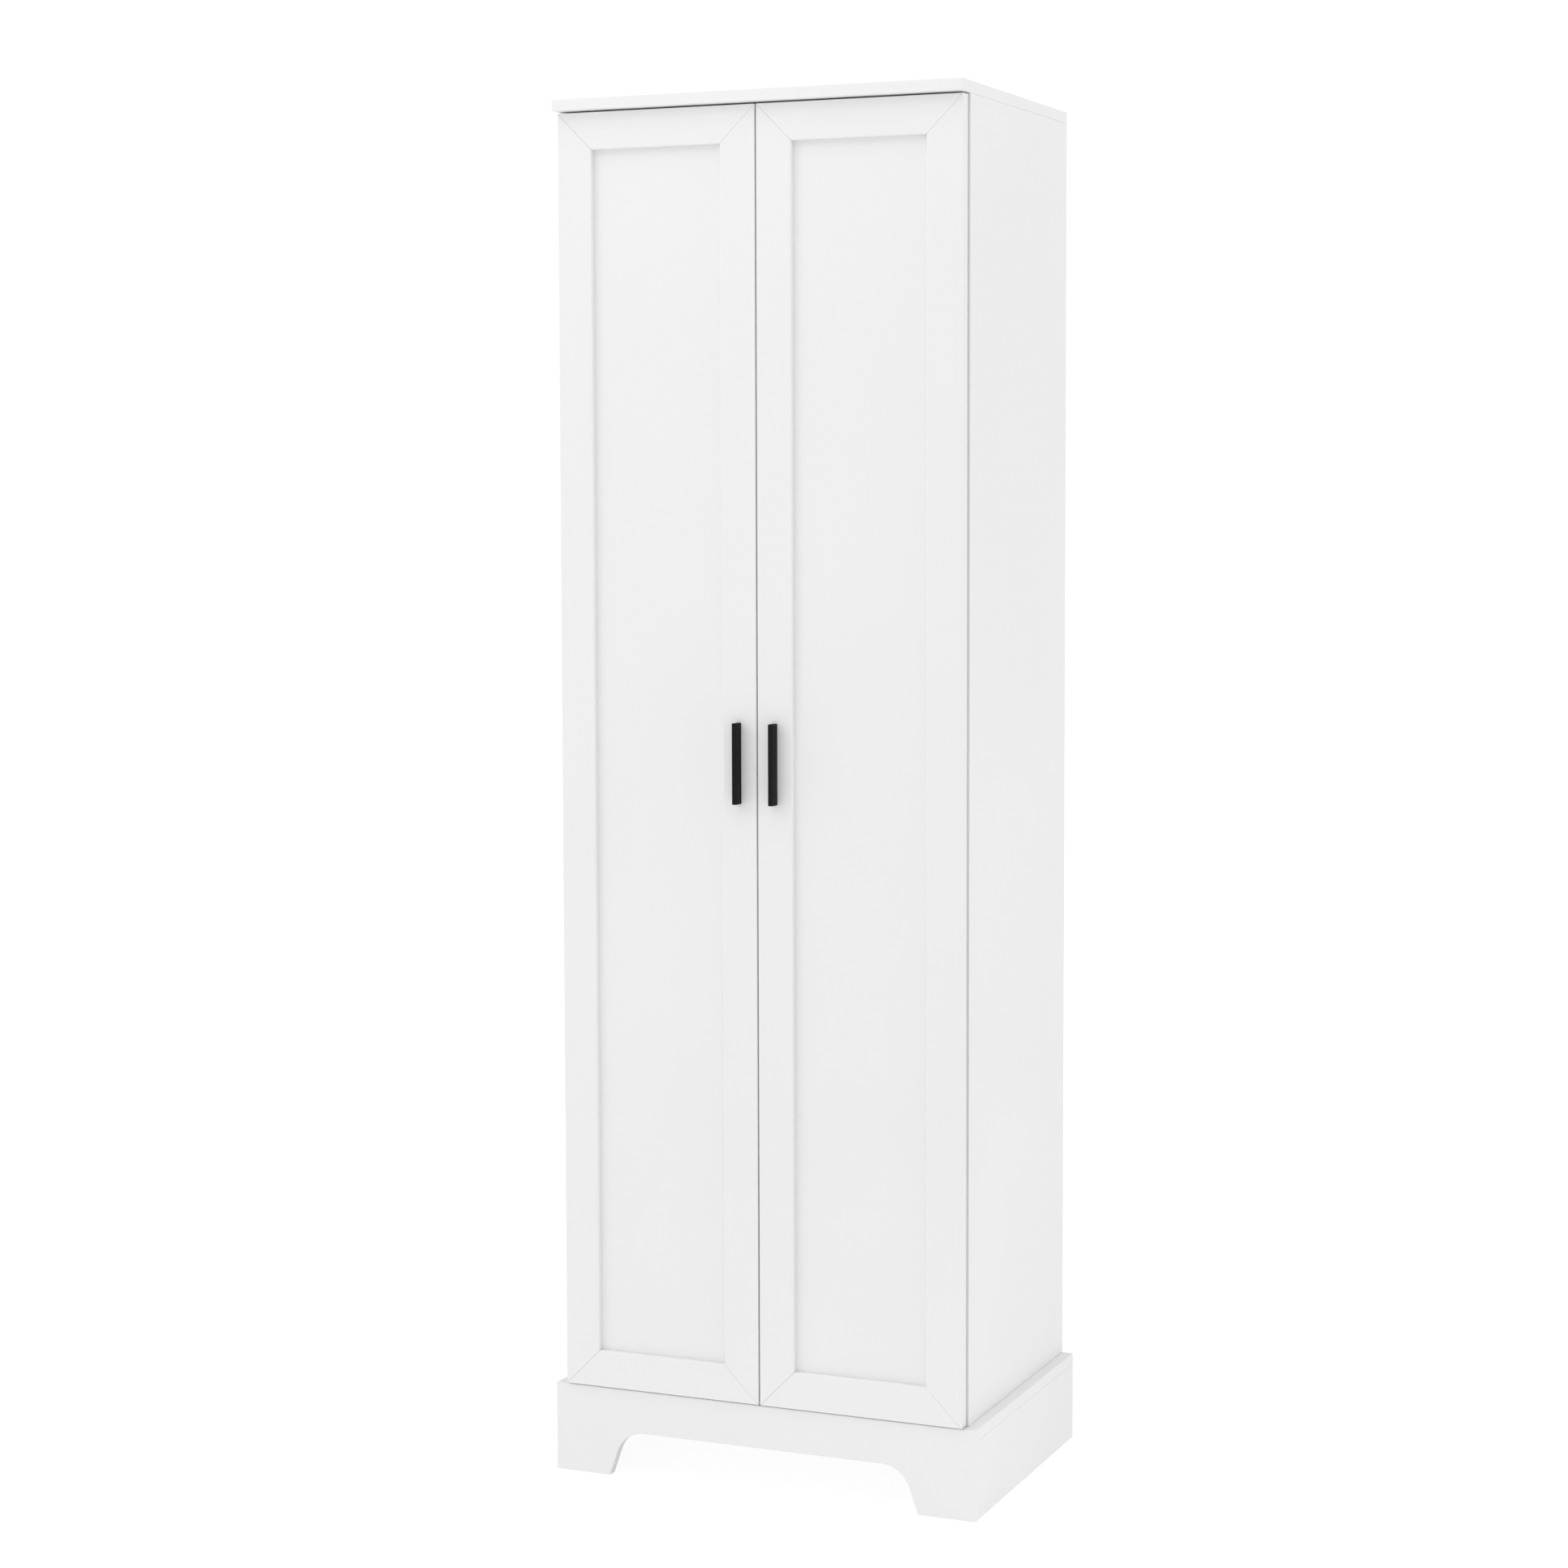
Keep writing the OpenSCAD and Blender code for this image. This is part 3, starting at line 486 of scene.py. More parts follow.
zinc = finish_of("bright_zinc", ((0.50, 0.52, 0.55), (0.60, 0.62, 0.65)), 0.004,
                 (0.28, 0.42), 0.0009, 1e-5, metallic=1)
turns = np.random.default_rng(4)


def cross_outline(arm, half_width, sides):
    """Radii of a cross: in each direction the nearer of its arm's end, arm / cos, and its
    arm's side, half width / sin, with the angle taken from the nearest arm."""
    t = (np.arange(sides) * 2 * math.pi / sides + math.pi / 4) % (math.pi / 2) - math.pi / 4
    return np.minimum(arm / np.cos(t), half_width / np.maximum(np.abs(np.sin(t)), 1e-6))


def screws(name, tips, ways, length, thread, head, rise, pitch=0.0018, point=2.0, sides=24):
    """Zinc cross-head screws from their tips. The shank's radius is core + (thread - core)
    * ridge, where ridge is a triangle wave of height / pitch - t / one turn; it narrows to
    the tip over point thread radii. The head rises in a low dome, with a cross sunk in it.
    Each screw is turned by a random angle."""
    shank = np.arange(0, length, pitch / 6)
    t = np.arange(sides) / sides
    wave = np.abs((shank[:, None] / pitch - t) % 1 - 0.5) * 2
    narrow = np.clip(shank / (point * thread), 0.12, 1)[:, None]
    core = 0.72 * thread
    ridges = (core + (thread - core) * wave) * narrow
    dome = head * np.array([1.0, 1.0, 0.93, 0.78])
    dome_heights = length + rise * np.array([0, 0.45, 0.8, 1.0])
    arm = cross_outline(0.52 * head, 0.12 * head, sides)
    round_rings = np.outer(np.r_[core, dome], np.ones(sides))
    radii = np.vstack([ridges, round_rings, arm, 0.8 * arm, np.zeros(sides)])
    deep = length + rise - 0.6 * head
    heights = np.r_[shank, length, dome_heights, length + rise, deep, deep]
    spin = turns.uniform(0, math.pi, len(tips))
    piece = lofted(name, turned(radii, heights, tips, -np.asarray(ways), spin=spin), zinc)
    smooth(piece)
    return piece


def smooth(piece, angle=35):
    """Shades a piece smooth, with creases left sharp."""
    piece.data.shade_smooth()
    piece.data.set_sharp_from_angle(angle=math.radians(angle))


plinth_screws = screws("plinth_screw_set", block_screw_tips, block_screw_ways,
                       block_screw_length - HEAD_RISE, BLOCK_SCREW_HOLE, BLOCK_SCREW_HEAD, HEAD_RISE)
placed(plinth_screws, "carcass", "zinc", "plinth_screws")

# ------------------------------------------------------------------ cams, bolts and dowels
# Knock-down joints: a bolt in one board enters the other's edge, and a cast zinc cam
# hooks its head and draws the joint tight. Fluted beech dowels keep the boards in line.

CAM_RADIUS, CAM_LIP, CAM_RIM, CAM_SUNK = 0.00745, 0.0004, 0.0014, 0.0003
CAM_CROSS = cross_outline(0.0052, 0.0010, 48)
CAM_CROSS_DEPTH = 0.0025
THREAD_STEP, THREAD_PITCH = 0.0004, 0.0024
THREAD_CORE, THREAD_RISE = 0.0019, 0.0006
BOLT_PROFILE = np.array([
    (0.0019, 0.0099), (0.0030, 0.0100), (0.0030, 0.0118), (0.0026, 0.0122), (0.0026, 0.0350),
    (0.0019, 0.0362), (0.0019, 0.0380), (0.0035, 0.0388), (0.0035, 0.0430), (0.0028, bolt_length),
    (0, bolt_length)])
DOWEL, FLUTE, DOWEL_TAPER = 0.00395, 0.00030, 0.0008

cam_profile = np.array([
    (0, 0), (CAM_RADIUS - CAM_LIP, 0), (CAM_RADIUS, CAM_LIP), (CAM_RADIUS, cam_height - CAM_LIP),
    (CAM_RADIUS - CAM_LIP, cam_height), (CAM_RADIUS - CAM_RIM, cam_height),
    (CAM_RADIUS - CAM_RIM - CAM_LIP, cam_height - CAM_SUNK)])
cam_floor = cam_height - CAM_SUNK - CAM_CROSS_DEPTH
cam_radii = np.vstack([np.outer(cam_profile[:, 0], np.ones(48)), CAM_CROSS, 0.8 * CAM_CROSS,
                       np.zeros(48)])
cam_heights = np.r_[cam_profile[:, 1], cam_height - CAM_SUNK, cam_floor, cam_floor]
cam_feet = cams - cam_ways * cam_height / 2
cam_set = lofted("cam_lock_set", turned(cam_radii, cam_heights, cam_feet, cam_ways), zinc)
carved(cam_set, rods(bolt_seats, bolt_ways, bolt_length - THREAD_LENGTH + 0.001, BOLT_HOLE),
       "DIFFERENCE", zinc)
smooth(cam_set)
placed(cam_set, "carcass", "zinc", "cam_locks")

thread_rows = np.arange(0, THREAD_LENGTH, THREAD_STEP)
thread_wave = np.abs((thread_rows[:, None] / THREAD_PITCH - np.arange(24) / 24) % 1 - 0.5) * 2
bolt_radii = np.vstack([np.zeros(24), THREAD_CORE + THREAD_RISE * thread_wave,
                        np.outer(BOLT_PROFILE[:, 0], np.ones(24))])
bolt_heights = np.r_[0, thread_rows, BOLT_PROFILE[:, 1]]
bolt_set = lofted("cam_bolt_set", turned(bolt_radii, bolt_heights, bolt_tails, bolt_ways), zinc)
smooth(bolt_set)
placed(bolt_set, "carcass", "zinc", "cam_bolts")

beech = finish_of("beech", ((0.50, 0.33, 0.19), (0.70, 0.52, 0.34)), 0.003, (0.50, 0.68),
                  0.0008, 3e-5)
flutes = DOWEL - FLUTE * (np.cos(np.arange(60) * 2 * math.pi / 5) < -0.5)
dowel_radii = np.vstack([0 * flutes, flutes - DOWEL_TAPER, flutes, flutes, flutes - DOWEL_TAPER,
                         0 * flutes])
dowel_heights = np.array([-1, -1, -0.93, 0.93, 1, 1]) * dowel_length / 2
dowel_set = lofted("dowel_set", turned(dowel_radii, dowel_heights, dowel_mids, dowel_ways), beech)
placed(dowel_set, "carcass", "beech", "dowels")

# ------------------------------------------------------------------ back
# Thin hardboard in two halves, white inside and brown outside, let into a white plastic
# strip where they meet and nailed to the rear edges of the boards.

STRIP_EASED, FLANGE_EASED, STRIP_SHORT, WEB = 0.0002, 0.0003, 0.001, 0.0012
NAIL, NAIL_HEAD, NAIL_HEAD_RISE = 0.0007, 0.0022, 0.0005

hardboard = finish_of("brown_hardboard", ((0.32, 0.187, 0.096), (0.345, 0.204, 0.109)), 0.006,
                      (0.55, 0.70), 0.0007, 3e-5, gloss=0.3)
lacquer = finish_of("white_lacquer", ((0.83, 0.83, 0.82), (0.85, 0.85, 0.84)), 0.2,
                    (0.38, 0.48), 0.0015, 8e-6, gloss=0.4)
for node in ("back_panel_lower", "back_panel_upper"):
    sheet = lofted(node + "_sheet", eased_box(*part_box(node), 0.0002, 1), hardboard, lacquer)
    facing = np.empty(len(sheet.data.polygons) * 3)
    sheet.data.polygons.foreach_get("normal", facing)
    sheet.data.polygons.foreach_set("material_index", (facing[1::3] < -0.99).astype(int))
    low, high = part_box(node)
    if high[2] > wall_hole_starts[0, 2]:
        carved(sheet, rods(wall_hole_starts, (0, 1, 0), WALL_DRILL, WALL_HOLE), "DIFFERENCE", hardboard)
    placed(sheet, "carcass", "back_board", node)

low, high = np.array(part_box("back_joint_strip"))
front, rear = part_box("back_panel_lower")[0][1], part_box("back_panel_lower")[1][1]
strip_z = (low[2] + high[2]) / 2
strip = lofted("back_joint_strip_section",
               eased_box((low[0], rear, low[2]), high, STRIP_EASED, 2), plastic)
web = eased_box((-inner_face, front - STRIP_EASED, strip_z - WEB / 2),
                (inner_face, rear + STRIP_EASED, strip_z + WEB / 2), STRIP_EASED / 2, 2)
inner_flange = eased_box((STRIP_SHORT - inner_face, low[1], low[2]),
                         (inner_face - STRIP_SHORT, front, high[2]), FLANGE_EASED, 2)
carved(strip, [web, inner_flange], "UNION", plastic)
placed(strip, "carcass", "white_plastic", "back_joint_strip")

nails = solids("back_nails")
nail_length = np.ptp(nails[0], axis=0)[1]
nail_neck = nail_length - NAIL_HEAD_RISE
nail_profile = np.array([
    (0, 0), (0.0003, 0.0001), (NAIL, 0.0012), (NAIL, nail_neck), (NAIL_HEAD, nail_neck),
    (NAIL_HEAD, nail_length - 0.0002), (NAIL_HEAD - 0.0003, nail_length), (0, nail_length)])
nail_points = nails.mean(1) - (0, nail_length / 2, 0)
nail_set = lofted("back_nail_set", turned(*nail_profile.T, nail_points, (0, 1, 0), 16), zinc)
smooth(nail_set)
placed(nail_set, "carcass", "zinc", "back_nails")

# ------------------------------------------------------------------ shelf pins
# Turned nickel-plated pins, pushed into the rows of holes: a peg, a collar against the
# side panel, and a stub with a bevelled end that carries the shelf.

nickel = finish_of("pressed_nickel", ((0.60, 0.59, 0.56), (0.66, 0.65, 0.62)), 0.02,
                   (0.20, 0.30), 0.0012, 6e-6, metallic=1)
pin_length = np.ptp(pins[0], axis=0)[0]
pin_profile = np.array([
    (0, 0), (0.0019, 0), (0.00245, 0.0006), (0.00245, 0.0095), (0.0035, 0.0095), (0.0035, 0.0107),
    (0.0025, 0.0107), (0.0025, pin_length - 0.0007), (0.0018, pin_length), (0, pin_length)])
inwards = -np.sign(pin_mids[:, :1]) * (1, 0, 0)
pin_set = lofted("shelf_pin_set", turned(*pin_profile.T, pin_mids - inwards * pin_length / 2,
                                         inwards, 32), nickel)
smooth(pin_set)
placed(pin_set, "carcass", "nickel", "shelf_pins")

# ------------------------------------------------------------------ hinges, carcass side
# Concealed hinges of pressed nickel-plated steel. Each has a plate screwed to the side
# panel, and over it an arm whose neck reaches round the panel's front edge to the cup.

SIDES = {"left": -1, "right": 1}
(left_end, door_front, _), (_, door_back, _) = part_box("left_hinge_stile")
door_edge = -left_end
hinge_pins = {hand: solids(hand + "_hinge_pins") for hand in SIDES}
hinge_zs = hinge_pins["left"].mean(1)[:, 2]
PIVOT = np.array([door_edge + hinge_pins["left"][0, :, 0].mean(),
                  door_back - hinge_pins["left"][0, :, 1].mean()])
EYE_OUT, EYE_IN = 0.0024, 0.00135
STEEL = EYE_OUT - EYE_IN
BEND = 0.0048
NECK_OUT = 0.0211
NECK_BACK, CHANNEL_BACK, CHANNEL_END = -0.006, -0.013, -0.062
CHANNEL_TOP, CHANNEL_BASE = 0.027, 0.018
CHANNEL_GROWTH = 0.007
ARM_HALF, CHANNEL_HALF = 0.006, 0.007
ARM_EASED, CHANNEL_EASED, KINK = 0.0004, 0.0014, 0.0006
PLATE_RISE, PLATE_EASED, PLATE_HALF, PLATE_CORNER = 0.002, 0.0004, 0.008, 0.0055
BODY_RISE, BODY_EASED, BODY_FRONT, BODY_HALF = 0.008, 0.0010, -0.020, 0.0054
PLATE_SCREW_HEAD, ARM_SCREW, ARM_SCREW_HEAD, ARM_HEAD_RISE = 0.0045, 0.0025, 0.0037, 0.001


def hinge_point(side, u, v, z):
    """A point given by its distance in from the door's outer edge, u, and forward of the
    door's back face, v."""
    u, v, z = np.broadcast_arrays(u, v, z)
    return np.stack([side * (door_edge - u), door_back - v, z], -1)


def rounded(low, high, radius, steps=6):
    """A counter-clockwise rectangle with round corners."""
    (a, b), (c, d), r = low, high, radius
    return np.concatenate([
        arc((a + r, b + r), r, math.pi, 1.5 * math.pi, steps),
        arc((c - r, b + r), r, 1.5 * math.pi, 2 * math.pi, steps),
        arc((c - r, d - r), r, 0, 0.5 * math.pi, steps),
        arc((a + r, d - r), r, 0.5 * math.pi, math.pi, steps),
    ])


def hinge_arm():
    """The arm as rings of (u, v, z). Its outer face follows a line in u and v: round the
    pin, over the cup, round the bend, back along the neck and down the channel. Across
    that line the strip is a U: a flat top, rounded corners and two walls, which grow
    deeper down the channel."""
    bend_u = NECK_OUT - BEND
    bend_v = PIVOT[1] + EYE_OUT - BEND
    line = np.concatenate([
        arc(PIVOT, EYE_OUT, 2 * math.pi, math.pi / 2, 18),
        arc((bend_u, bend_v), BEND, math.pi / 2, 0, 8),
        [[NECK_OUT, NECK_BACK + 0.001], [NECK_OUT + KINK, NECK_BACK - KINK],
         [CHANNEL_TOP - KINK, CHANNEL_BACK + KINK], [CHANNEL_TOP, CHANNEL_BACK - 0.001],
         [CHANNEL_TOP, -0.016], [CHANNEL_TOP, -0.020], [CHANNEL_TOP, -0.024],
         [CHANNEL_TOP, CHANNEL_END + 0.001], [CHANNEL_TOP - KINK, CHANNEL_END]],
    ])
    ahead = np.gradient(line, axis=0)
    ahead /= np.linalg.norm(ahead, axis=1)[:, None]
    outward = np.stack([-ahead[:, 1], ahead[:, 0]], 1)
    deeper = np.clip((CHANNEL_BACK - line[:, 1]) / CHANNEL_GROWTH, 0, 1)
    wider = np.clip((NECK_BACK - line[:, 1]) / CHANNEL_GROWTH, 0, 1)
    wall = STEEL + deeper * (CHANNEL_TOP - CHANNEL_BASE - STEEL)
    half = ARM_HALF + wider * (CHANNEL_HALF - ARM_HALF)
    corner = ARM_EASED + CHANNEL_EASED * deeper
    quarter = np.linspace(0, math.pi / 2, 4)
    aside, below = 1 - np.sin(quarter), 1 - np.cos(quarter)
    z_out = np.concatenate([half[:, None] - corner[:, None] * aside, half[:, None]], 1)
    d_out = np.concatenate([corner[:, None] * below, wall[:, None]], 1)
    shrink = np.maximum(corner - STEEL, 0)[:, None]
    z_in = np.concatenate([half[:, None] - STEEL - shrink * aside, half[:, None] - STEEL], 1)
    d_in = np.concatenate([STEEL + shrink * below, wall[:, None]], 1)
    z = np.concatenate([z_out, z_in[:, ::-1], -z_in, -z_out[:, ::-1]], 1)
    drop = np.concatenate([d_out, d_in[:, ::-1], d_in, d_out[:, ::-1]], 1)
    uv = line[:, None, :] - drop[..., None] * outward[:, None]
    return uv[..., 0], uv[..., 1], z


arm_u, arm_v, arm_z = hinge_arm()
arm_set = lofted("hinge_arm_set", [hinge_point(side, arm_u, arm_v, arm_z + z)
                                   for side in SIDES.values() for z in hinge_zs], nickel)
smooth(arm_set, 30)
placed(arm_set, "carcass", "nickel", "hinge_arms")

face = door_edge - inner_face
plates, raised = [], []
for low, high in solids("hinge_plates"):
    side = np.sign(low[0])
    mid_y, mid_z = plate_screw_mids[0, 1], (low[2] + high[2]) / 2
    outline = rounded((mid_y - PLATE_HALF, low[2]), (mid_y + PLATE_HALF, high[2]), PLATE_CORNER)
    under, over = sorted((side * inner_face, side * (inner_face - PLATE_RISE)))
    plates.append(eased_slab(outline, under, over, PLATE_EASED, "yz"))
    ends = hinge_point(side, [face, face + BODY_RISE], [BODY_FRONT, CHANNEL_END],
                       [mid_z - BODY_HALF, mid_z + BODY_HALF])
    raised.append(eased_box(ends.min(0), ends.max(0), BODY_EASED))
plate_set = lofted("hinge_plate_set", plates, nickel)
carved(plate_set, raised, "UNION", nickel)
smooth(plate_set, 30)
placed(plate_set, "carcass", "nickel", "hinge_plates")

plate_ways = np.sign(plate_screw_mids[:, :1]) * (1, 0, 0)
plate_screw_length = np.ptp(plate_screws[0], axis=0)[0]
plate_screw_tips = plate_screw_mids + plate_ways * plate_screw_length / 2
plate_screw_set = screws("hinge_plate_screw_set", plate_screw_tips, plate_ways,
                         plate_screw_length - HEAD_RISE, PLATE_SCREW_HOLE, PLATE_SCREW_HEAD,
                         HEAD_RISE, point=0.6)
placed(plate_screw_set, "carcass", "zinc", "hinge_plate_screws")

arm_screws = solids("hinge_arm_screws")
arm_screw_ways = np.sign(arm_screws.mean(1)[:, :1]) * (1, 0, 0)
arm_screw_length = np.ptp(arm_screws[0], axis=0)[0]
arm_screw_tips = arm_screws.mean(1) + arm_screw_ways * arm_screw_length / 2
arm_screw_set = screws("hinge_arm_screw_set", arm_screw_tips, arm_screw_ways,
                       arm_screw_length - ARM_HEAD_RISE, ARM_SCREW, ARM_SCREW_HEAD, ARM_HEAD_RISE,
                       pitch=0.0008, point=0.2)
placed(arm_screw_set, "carcass", "zinc", "hinge_arm_screws")

# ------------------------------------------------------------------ hinges, door side
# Deep-drawn nickel-plated cups sit in bores in each door's back. In each, a zinc-plated
# pin through two ears carries the arm's eye, and two screws hold the cup's wings.

CUP_OUT, CUP_DEPTH, CUP_SHEET, CUP_ROUND = 0.0175, 0.0128, 0.0006, 0.003
CUP_IN, RIM, RIM_EASED, FLANGE = 0.0169, 0.0187, 0.0003, 0.001
CUP_FROM_EDGE = 0.0205
WING_FROM_EDGE, WING_HALF, WING_Z, WING_EASED = 0.030, 0.0055, 0.0225, 0.0002
EAR_NEAR, EAR_FAR, EAR_START, EAR_CORNER = 0.0050, 0.0130, 0.005, 0.0015
EAR_INNER, EAR_OUTER, EAR_END = 0.0063, 0.0075, CUP_DEPTH - CUP_SHEET / 2
PIN, PIN_EASED = 0.00125, 0.0002
CUP_SCREW, CUP_SCREW_HEAD, CUP_HEAD_RISE = 0.00175, 0.0034, 0.0012

quarter = np.linspace(0, math.pi / 2, 6)
inner_round = CUP_ROUND - CUP_SHEET
cup_radii = np.r_[
    0, CUP_OUT - CUP_ROUND * (1 - np.sin(quarter)), CUP_OUT, RIM, RIM, RIM - RIM_EASED,
    CUP_IN + 0.0007, CUP_IN + 0.0002, CUP_IN, CUP_IN - inner_round * (1 - np.cos(quarter)), 0]
cup_depths = np.r_[
    CUP_DEPTH, CUP_DEPTH - CUP_ROUND * (1 - np.cos(quarter)), 0, 0, RIM_EASED - FLANGE, -FLANGE,
    -FLANGE, 0.0002 - FLANGE, 0.0008 - FLANGE,
    CUP_DEPTH - CUP_SHEET - inner_round * (1 - np.sin(quarter)), CUP_DEPTH - CUP_SHEET]
forward = np.array((0, -1, 0))
for hand, side in SIDES.items():
    cup_mids = hinge_point(side, CUP_FROM_EDGE, 0, hinge_zs)
    cups = turned(cup_radii, cup_depths, cup_mids, forward, 64)
    cup_set = lofted(hand + "_hinge_cup_set", cups, nickel)
    wings, ears = [], []
    for z in hinge_zs:
        ends = hinge_point(side, [WING_FROM_EDGE - WING_HALF, WING_FROM_EDGE + WING_HALF], 0,
                           [z - WING_Z - WING_HALF, z + WING_Z + WING_HALF])[:, ::2]
        outline = rounded(ends.min(0), ends.max(0), WING_HALF - 0.0001, 10)
        wings.append(eased_slab(outline, door_back, door_back + FLANGE, WING_EASED, "xz"))
        corners = hinge_point(side, [EAR_NEAR, EAR_FAR], [EAR_START, EAR_END], z)[:, :2]
        outline = rounded(corners.min(0), corners.max(0), EAR_CORNER)
        ears += [eased_slab(outline, z - EAR_OUTER, z - EAR_INNER, WING_EASED, "xy"),
                 eased_slab(outline, z + EAR_INNER, z + EAR_OUTER, WING_EASED, "xy")]
    wing_set = lofted("wings", wings, nickel)
    openings = rods(cup_mids - 3 * FLANGE * forward, forward, 6 * FLANGE, CUP_IN + 0.0009)
    carved(wing_set, openings, "DIFFERENCE", nickel)
    carved(cup_set, wing_set, "UNION")
    carved(cup_set, ears, "UNION", nickel)
    smooth(cup_set, 30)
    placed(cup_set, hand + "_door", "nickel", hand + "_hinge_cups")

    pin = hinge_pins[hand]
    pin_length = np.ptp(pin[0], axis=0)[2]
    pin_radii = [0, PIN - PIN_EASED, PIN, PIN, PIN - PIN_EASED, 0]
    pin_heights = [0, 0, PIN_EASED, pin_length - PIN_EASED, pin_length, pin_length]
    pin_feet = pin.mean(1) - (0, 0, pin_length / 2)
    pin_set = lofted(hand + "_hinge_pin_set", turned(pin_radii, pin_heights, pin_feet, (0, 0, 1)), zinc)
    smooth(pin_set)
    placed(pin_set, hand + "_door", "zinc", hand + "_hinge_pins")

    cup_screws = solids(hand + "_cup_screws")
    cup_screw_length = np.ptp(cup_screws[0], axis=0)[1]
    cup_screw_tips = cup_screws.mean(1) + forward * cup_screw_length / 2
    screw_set = screws(hand + "_cup_screw_set", cup_screw_tips, forward,
                       cup_screw_length - CUP_HEAD_RISE, CUP_SCREW, CUP_SCREW_HEAD, CUP_HEAD_RISE)
    placed(screw_set, hand + "_door", "zinc", hand + "_cup_screws")

# ------------------------------------------------------------------ doors
# Each door is four 48 mm frame members, mitred at the corners, round a thin panel that
# sits in a groove and so lies back from the frame. All are wrapped in the white foil.

MITRE_GAP = 0.00018
LIP, BACK_LIP = 0.0079, 0.0131
GROOVE = 0.008
OUTER_ROUND, INNER_ROUND = 0.0010, 0.0020
PANEL_EASED = 0.0003
CUP_BORE, CUP_BORE_DEPTH = 0.0176, 0.013
CUP_SCREW_DEPTH = 0.012
HANDLE_BORE = 0.00225
DRILL_START = 0.001


def frame_member(name, outer, inner, along, low, high):
    """A mitred frame member. Its section, u in from the outer edge and w back from the
    front, is carried along its length, and each end is cut back by u to make the mitre."""
    width, thick = abs(inner - outer), door_back - door_front
    e, f = OUTER_ROUND, INNER_ROUND
    section = np.concatenate([
        arc((e, e), e, math.pi, 1.5 * math.pi, 4),
        arc((width - f, f), f, 1.5 * math.pi, 2 * math.pi, 4),
        [[width, LIP], [width - GROOVE, LIP], [width - GROOVE, BACK_LIP], [width, BACK_LIP]],
        arc((width - f, thick - f), f, 0, 0.5 * math.pi, 4),
        arc((e, thick - e), e, 0.5 * math.pi, math.pi, 4),
    ])
    u, w = section.T
    across = outer + np.sign(inner - outer) * u
    rings = [(end, door_front + w, across) if along == "x" else (across, door_front + w, end)
             for end in (low + u + MITRE_GAP, high - u - MITRE_GAP)]
    return lofted(name, [np.stack(ring, -1) for ring in rings], foil, bare)


for hand, side in SIDES.items():
    x_low, _, z_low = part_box(hand + "_bottom_rail")[0]
    x_high, _, z_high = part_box(hand + "_top_rail")[1]
    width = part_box(hand + "_bottom_rail")[1][2] - z_low
    left_stile, right_stile = ("hinge_stile", "meeting_stile")[::-side]
    door_thickness = door_back - door_front
    behind = (0, door_back + DRILL_START, 0)
    cup_starts = hinge_point(side, CUP_FROM_EDGE, -DRILL_START, hinge_zs)
    screw_starts = solids(hand + "_cup_screws").mean(1) * (1, 0, 1) + behind
    handle_starts = solids(hand + "_handle_screws").mean(1) * (1, 0, 1) + behind
    door_bores = np.concatenate([
        rods(cup_starts, forward, CUP_BORE_DEPTH + DRILL_START, CUP_BORE),
        rods(screw_starts, forward, CUP_SCREW_DEPTH + DRILL_START, CUP_SCREW),
        rods(handle_starts, forward, door_thickness + 2 * DRILL_START, HANDLE_BORE)])
    for part, outer, inner, along, low, high in (
            ("bottom_rail", z_low, z_low + width, "x", x_low, x_high),
            ("top_rail", z_high, z_high - width, "x", x_low, x_high),
            (left_stile, x_low, x_low + width, "z", z_low, z_high),
            (right_stile, x_high, x_high - width, "z", z_low, z_high)):
        node = f"{hand}_{part}"
        member = frame_member(node + "_member", outer, inner, along, low, high)
        if "stile" in part:
            near = np.abs(door_bores.mean((1, 2))[:, 0] - (outer + inner) / 2) < width / 2
            carved(member, door_bores[near], "DIFFERENCE", bare)
        placed(member, hand + "_door", "white_board", node)
    node = hand + "_door_panel"
    panel = lofted(node + "_board", eased_box(*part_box(node), PANEL_EASED), foil)
    placed(panel, hand + "_door", "white_board", node)

# ------------------------------------------------------------------ handles and bumpers
# A short solid bar on each meeting stile in fine-textured black powder coat, held by
# two screws from behind. A soft clear button keeps each door off the fixed shelf.

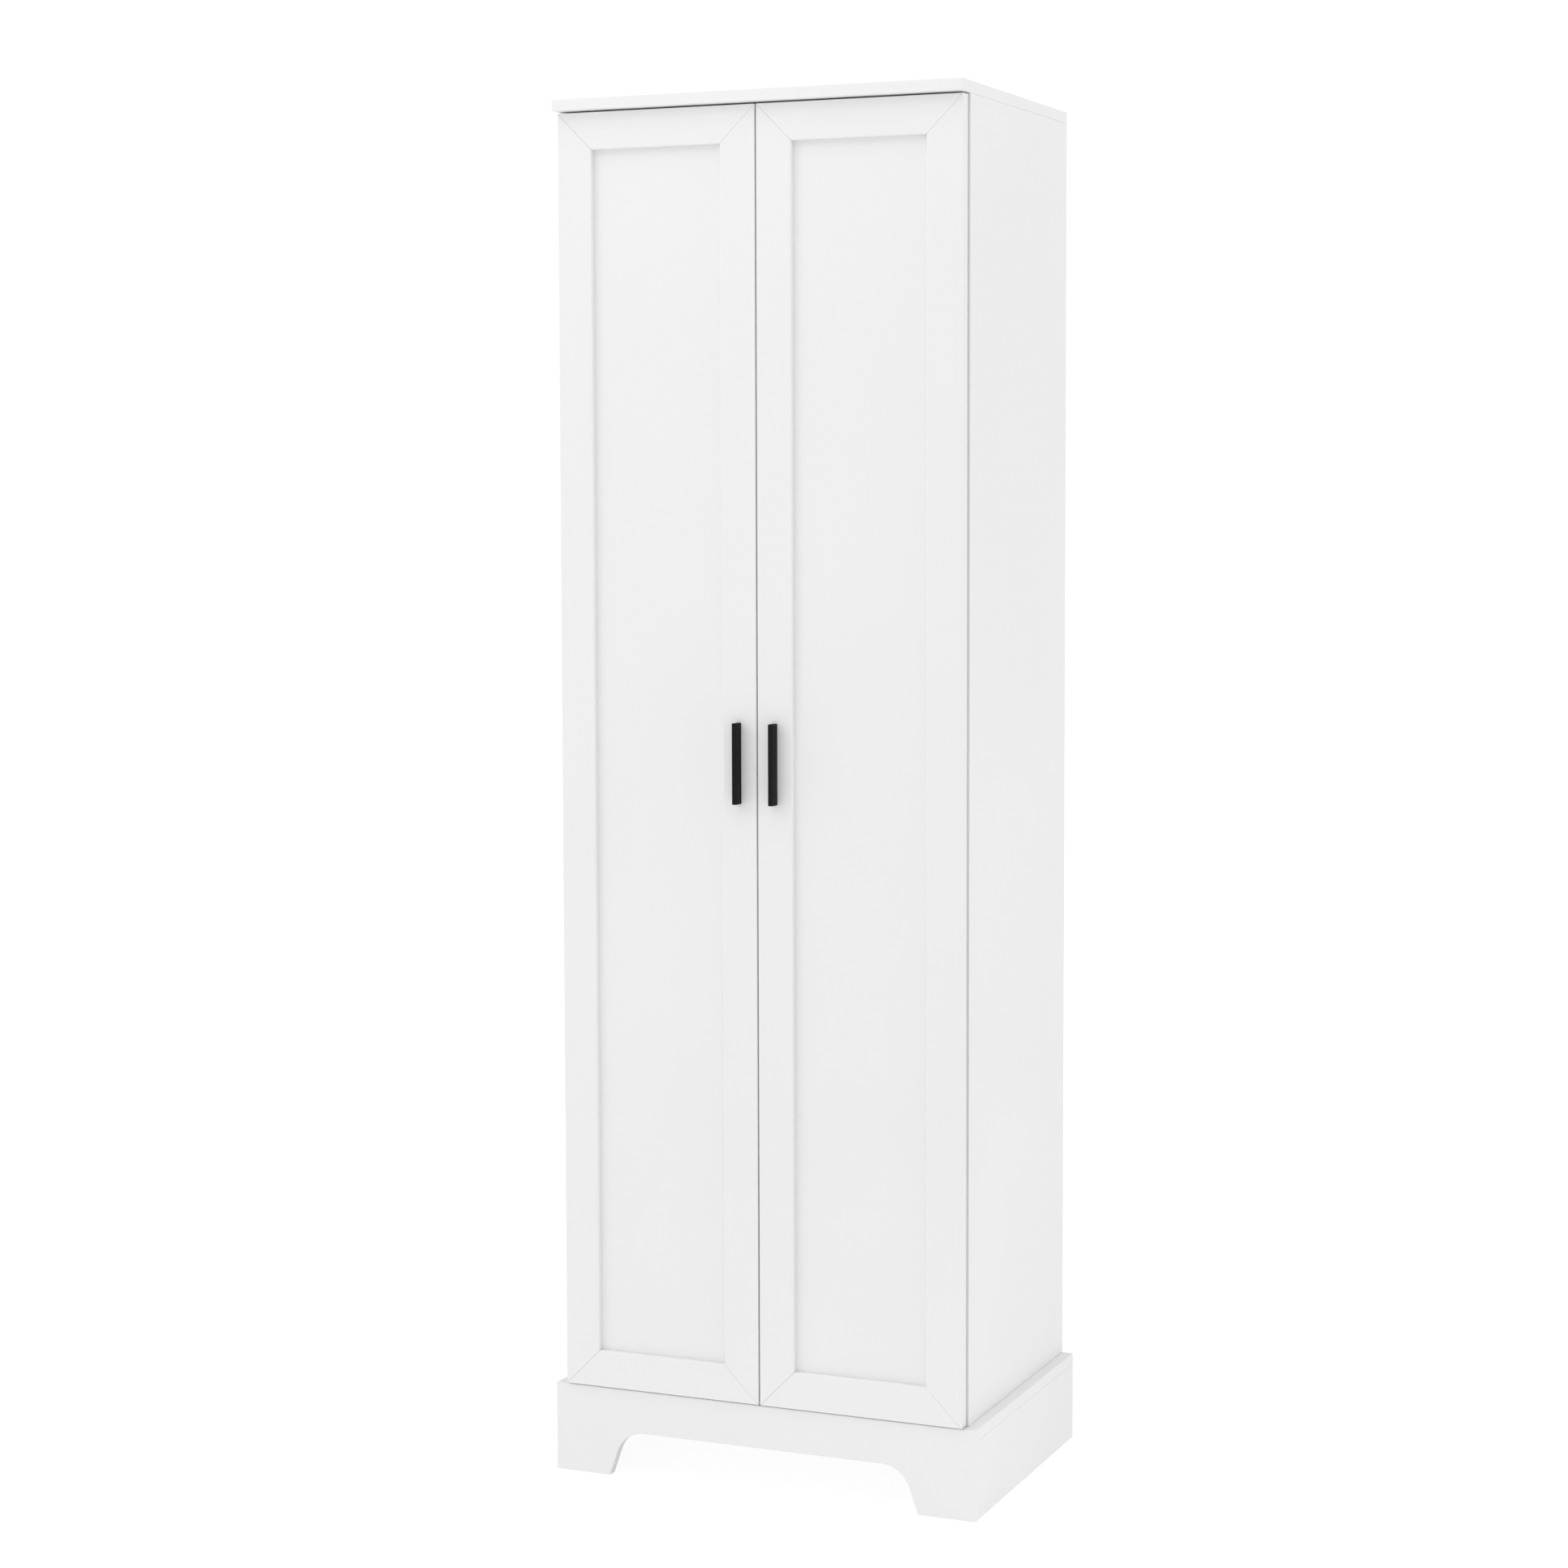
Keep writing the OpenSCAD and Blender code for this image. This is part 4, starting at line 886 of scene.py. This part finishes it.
BAR_EASED = 0.0007
BAR_SCREW, BAR_SCREW_DEPTH, BAR_SCREW_HEAD, BAR_HEAD_RISE = 0.002, 0.012, 0.004, 0.002
BUTTON_BEND, BUTTON_EASED = 0.0010, 0.0002

black = finish_of("black_powder_coat", ((0.009, 0.0086, 0.0108), (0.012, 0.0116, 0.0142)), 0.004,
                  (0.55, 0.68), 0.0005, 4e-5, gloss=0.10)
clear = finish_of("clear_button", ((0.80, 0.83, 0.85), (0.82, 0.85, 0.87)), 0.002, (0.10, 0.16),
                  0.0008, 4e-6)
clear_shader = clear.node_tree.nodes["Principled BSDF"]
clear_shader.inputs["Transmission Weight"].default_value = 0.85
clear_shader.inputs["IOR"].default_value = 1.47
for hand in SIDES:
    node = hand + "_handle"
    bar = lofted(node + "_bar", eased_box(*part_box(node), BAR_EASED, 4), black)
    bar_screws = solids(hand + "_handle_screws")
    bar_screw_length = np.ptp(bar_screws[0], axis=0)[1]
    bar_screw_tips = bar_screws.mean(1) + forward * bar_screw_length / 2
    carved(bar, rods(bar_screw_tips, -forward, BAR_SCREW_DEPTH, BAR_SCREW), "DIFFERENCE", black)
    placed(bar, hand + "_door", "black_metal", node)
    screw_set = screws(node + "_screw_set", bar_screw_tips, forward,
                       bar_screw_length - BAR_HEAD_RISE, BAR_SCREW, BAR_SCREW_HEAD, BAR_HEAD_RISE,
                       pitch=0.0007, point=0.3)
    placed(screw_set, hand + "_door", "zinc", node + "_screws")

    node = hand + "_door_bumper"
    low, high = np.array(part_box(node))
    radius, rise = (high[0] - low[0]) / 2, high[1] - low[1]
    button_radii = np.r_[0, radius - BUTTON_EASED, radius, radius * np.cos(quarter)]
    button_heights = np.r_[0, 0, BUTTON_EASED, BUTTON_BEND + (rise - BUTTON_BEND) * np.sin(quarter)]
    button_foot = (low + high) / 2 - (0, rise / 2, 0)
    button = lofted(node + "_button", turned(button_radii, button_heights, button_foot, (0, 1, 0), 32),
                    clear)
    smooth(button, 60)
    placed(button, hand + "_door", "clear_plastic", node)
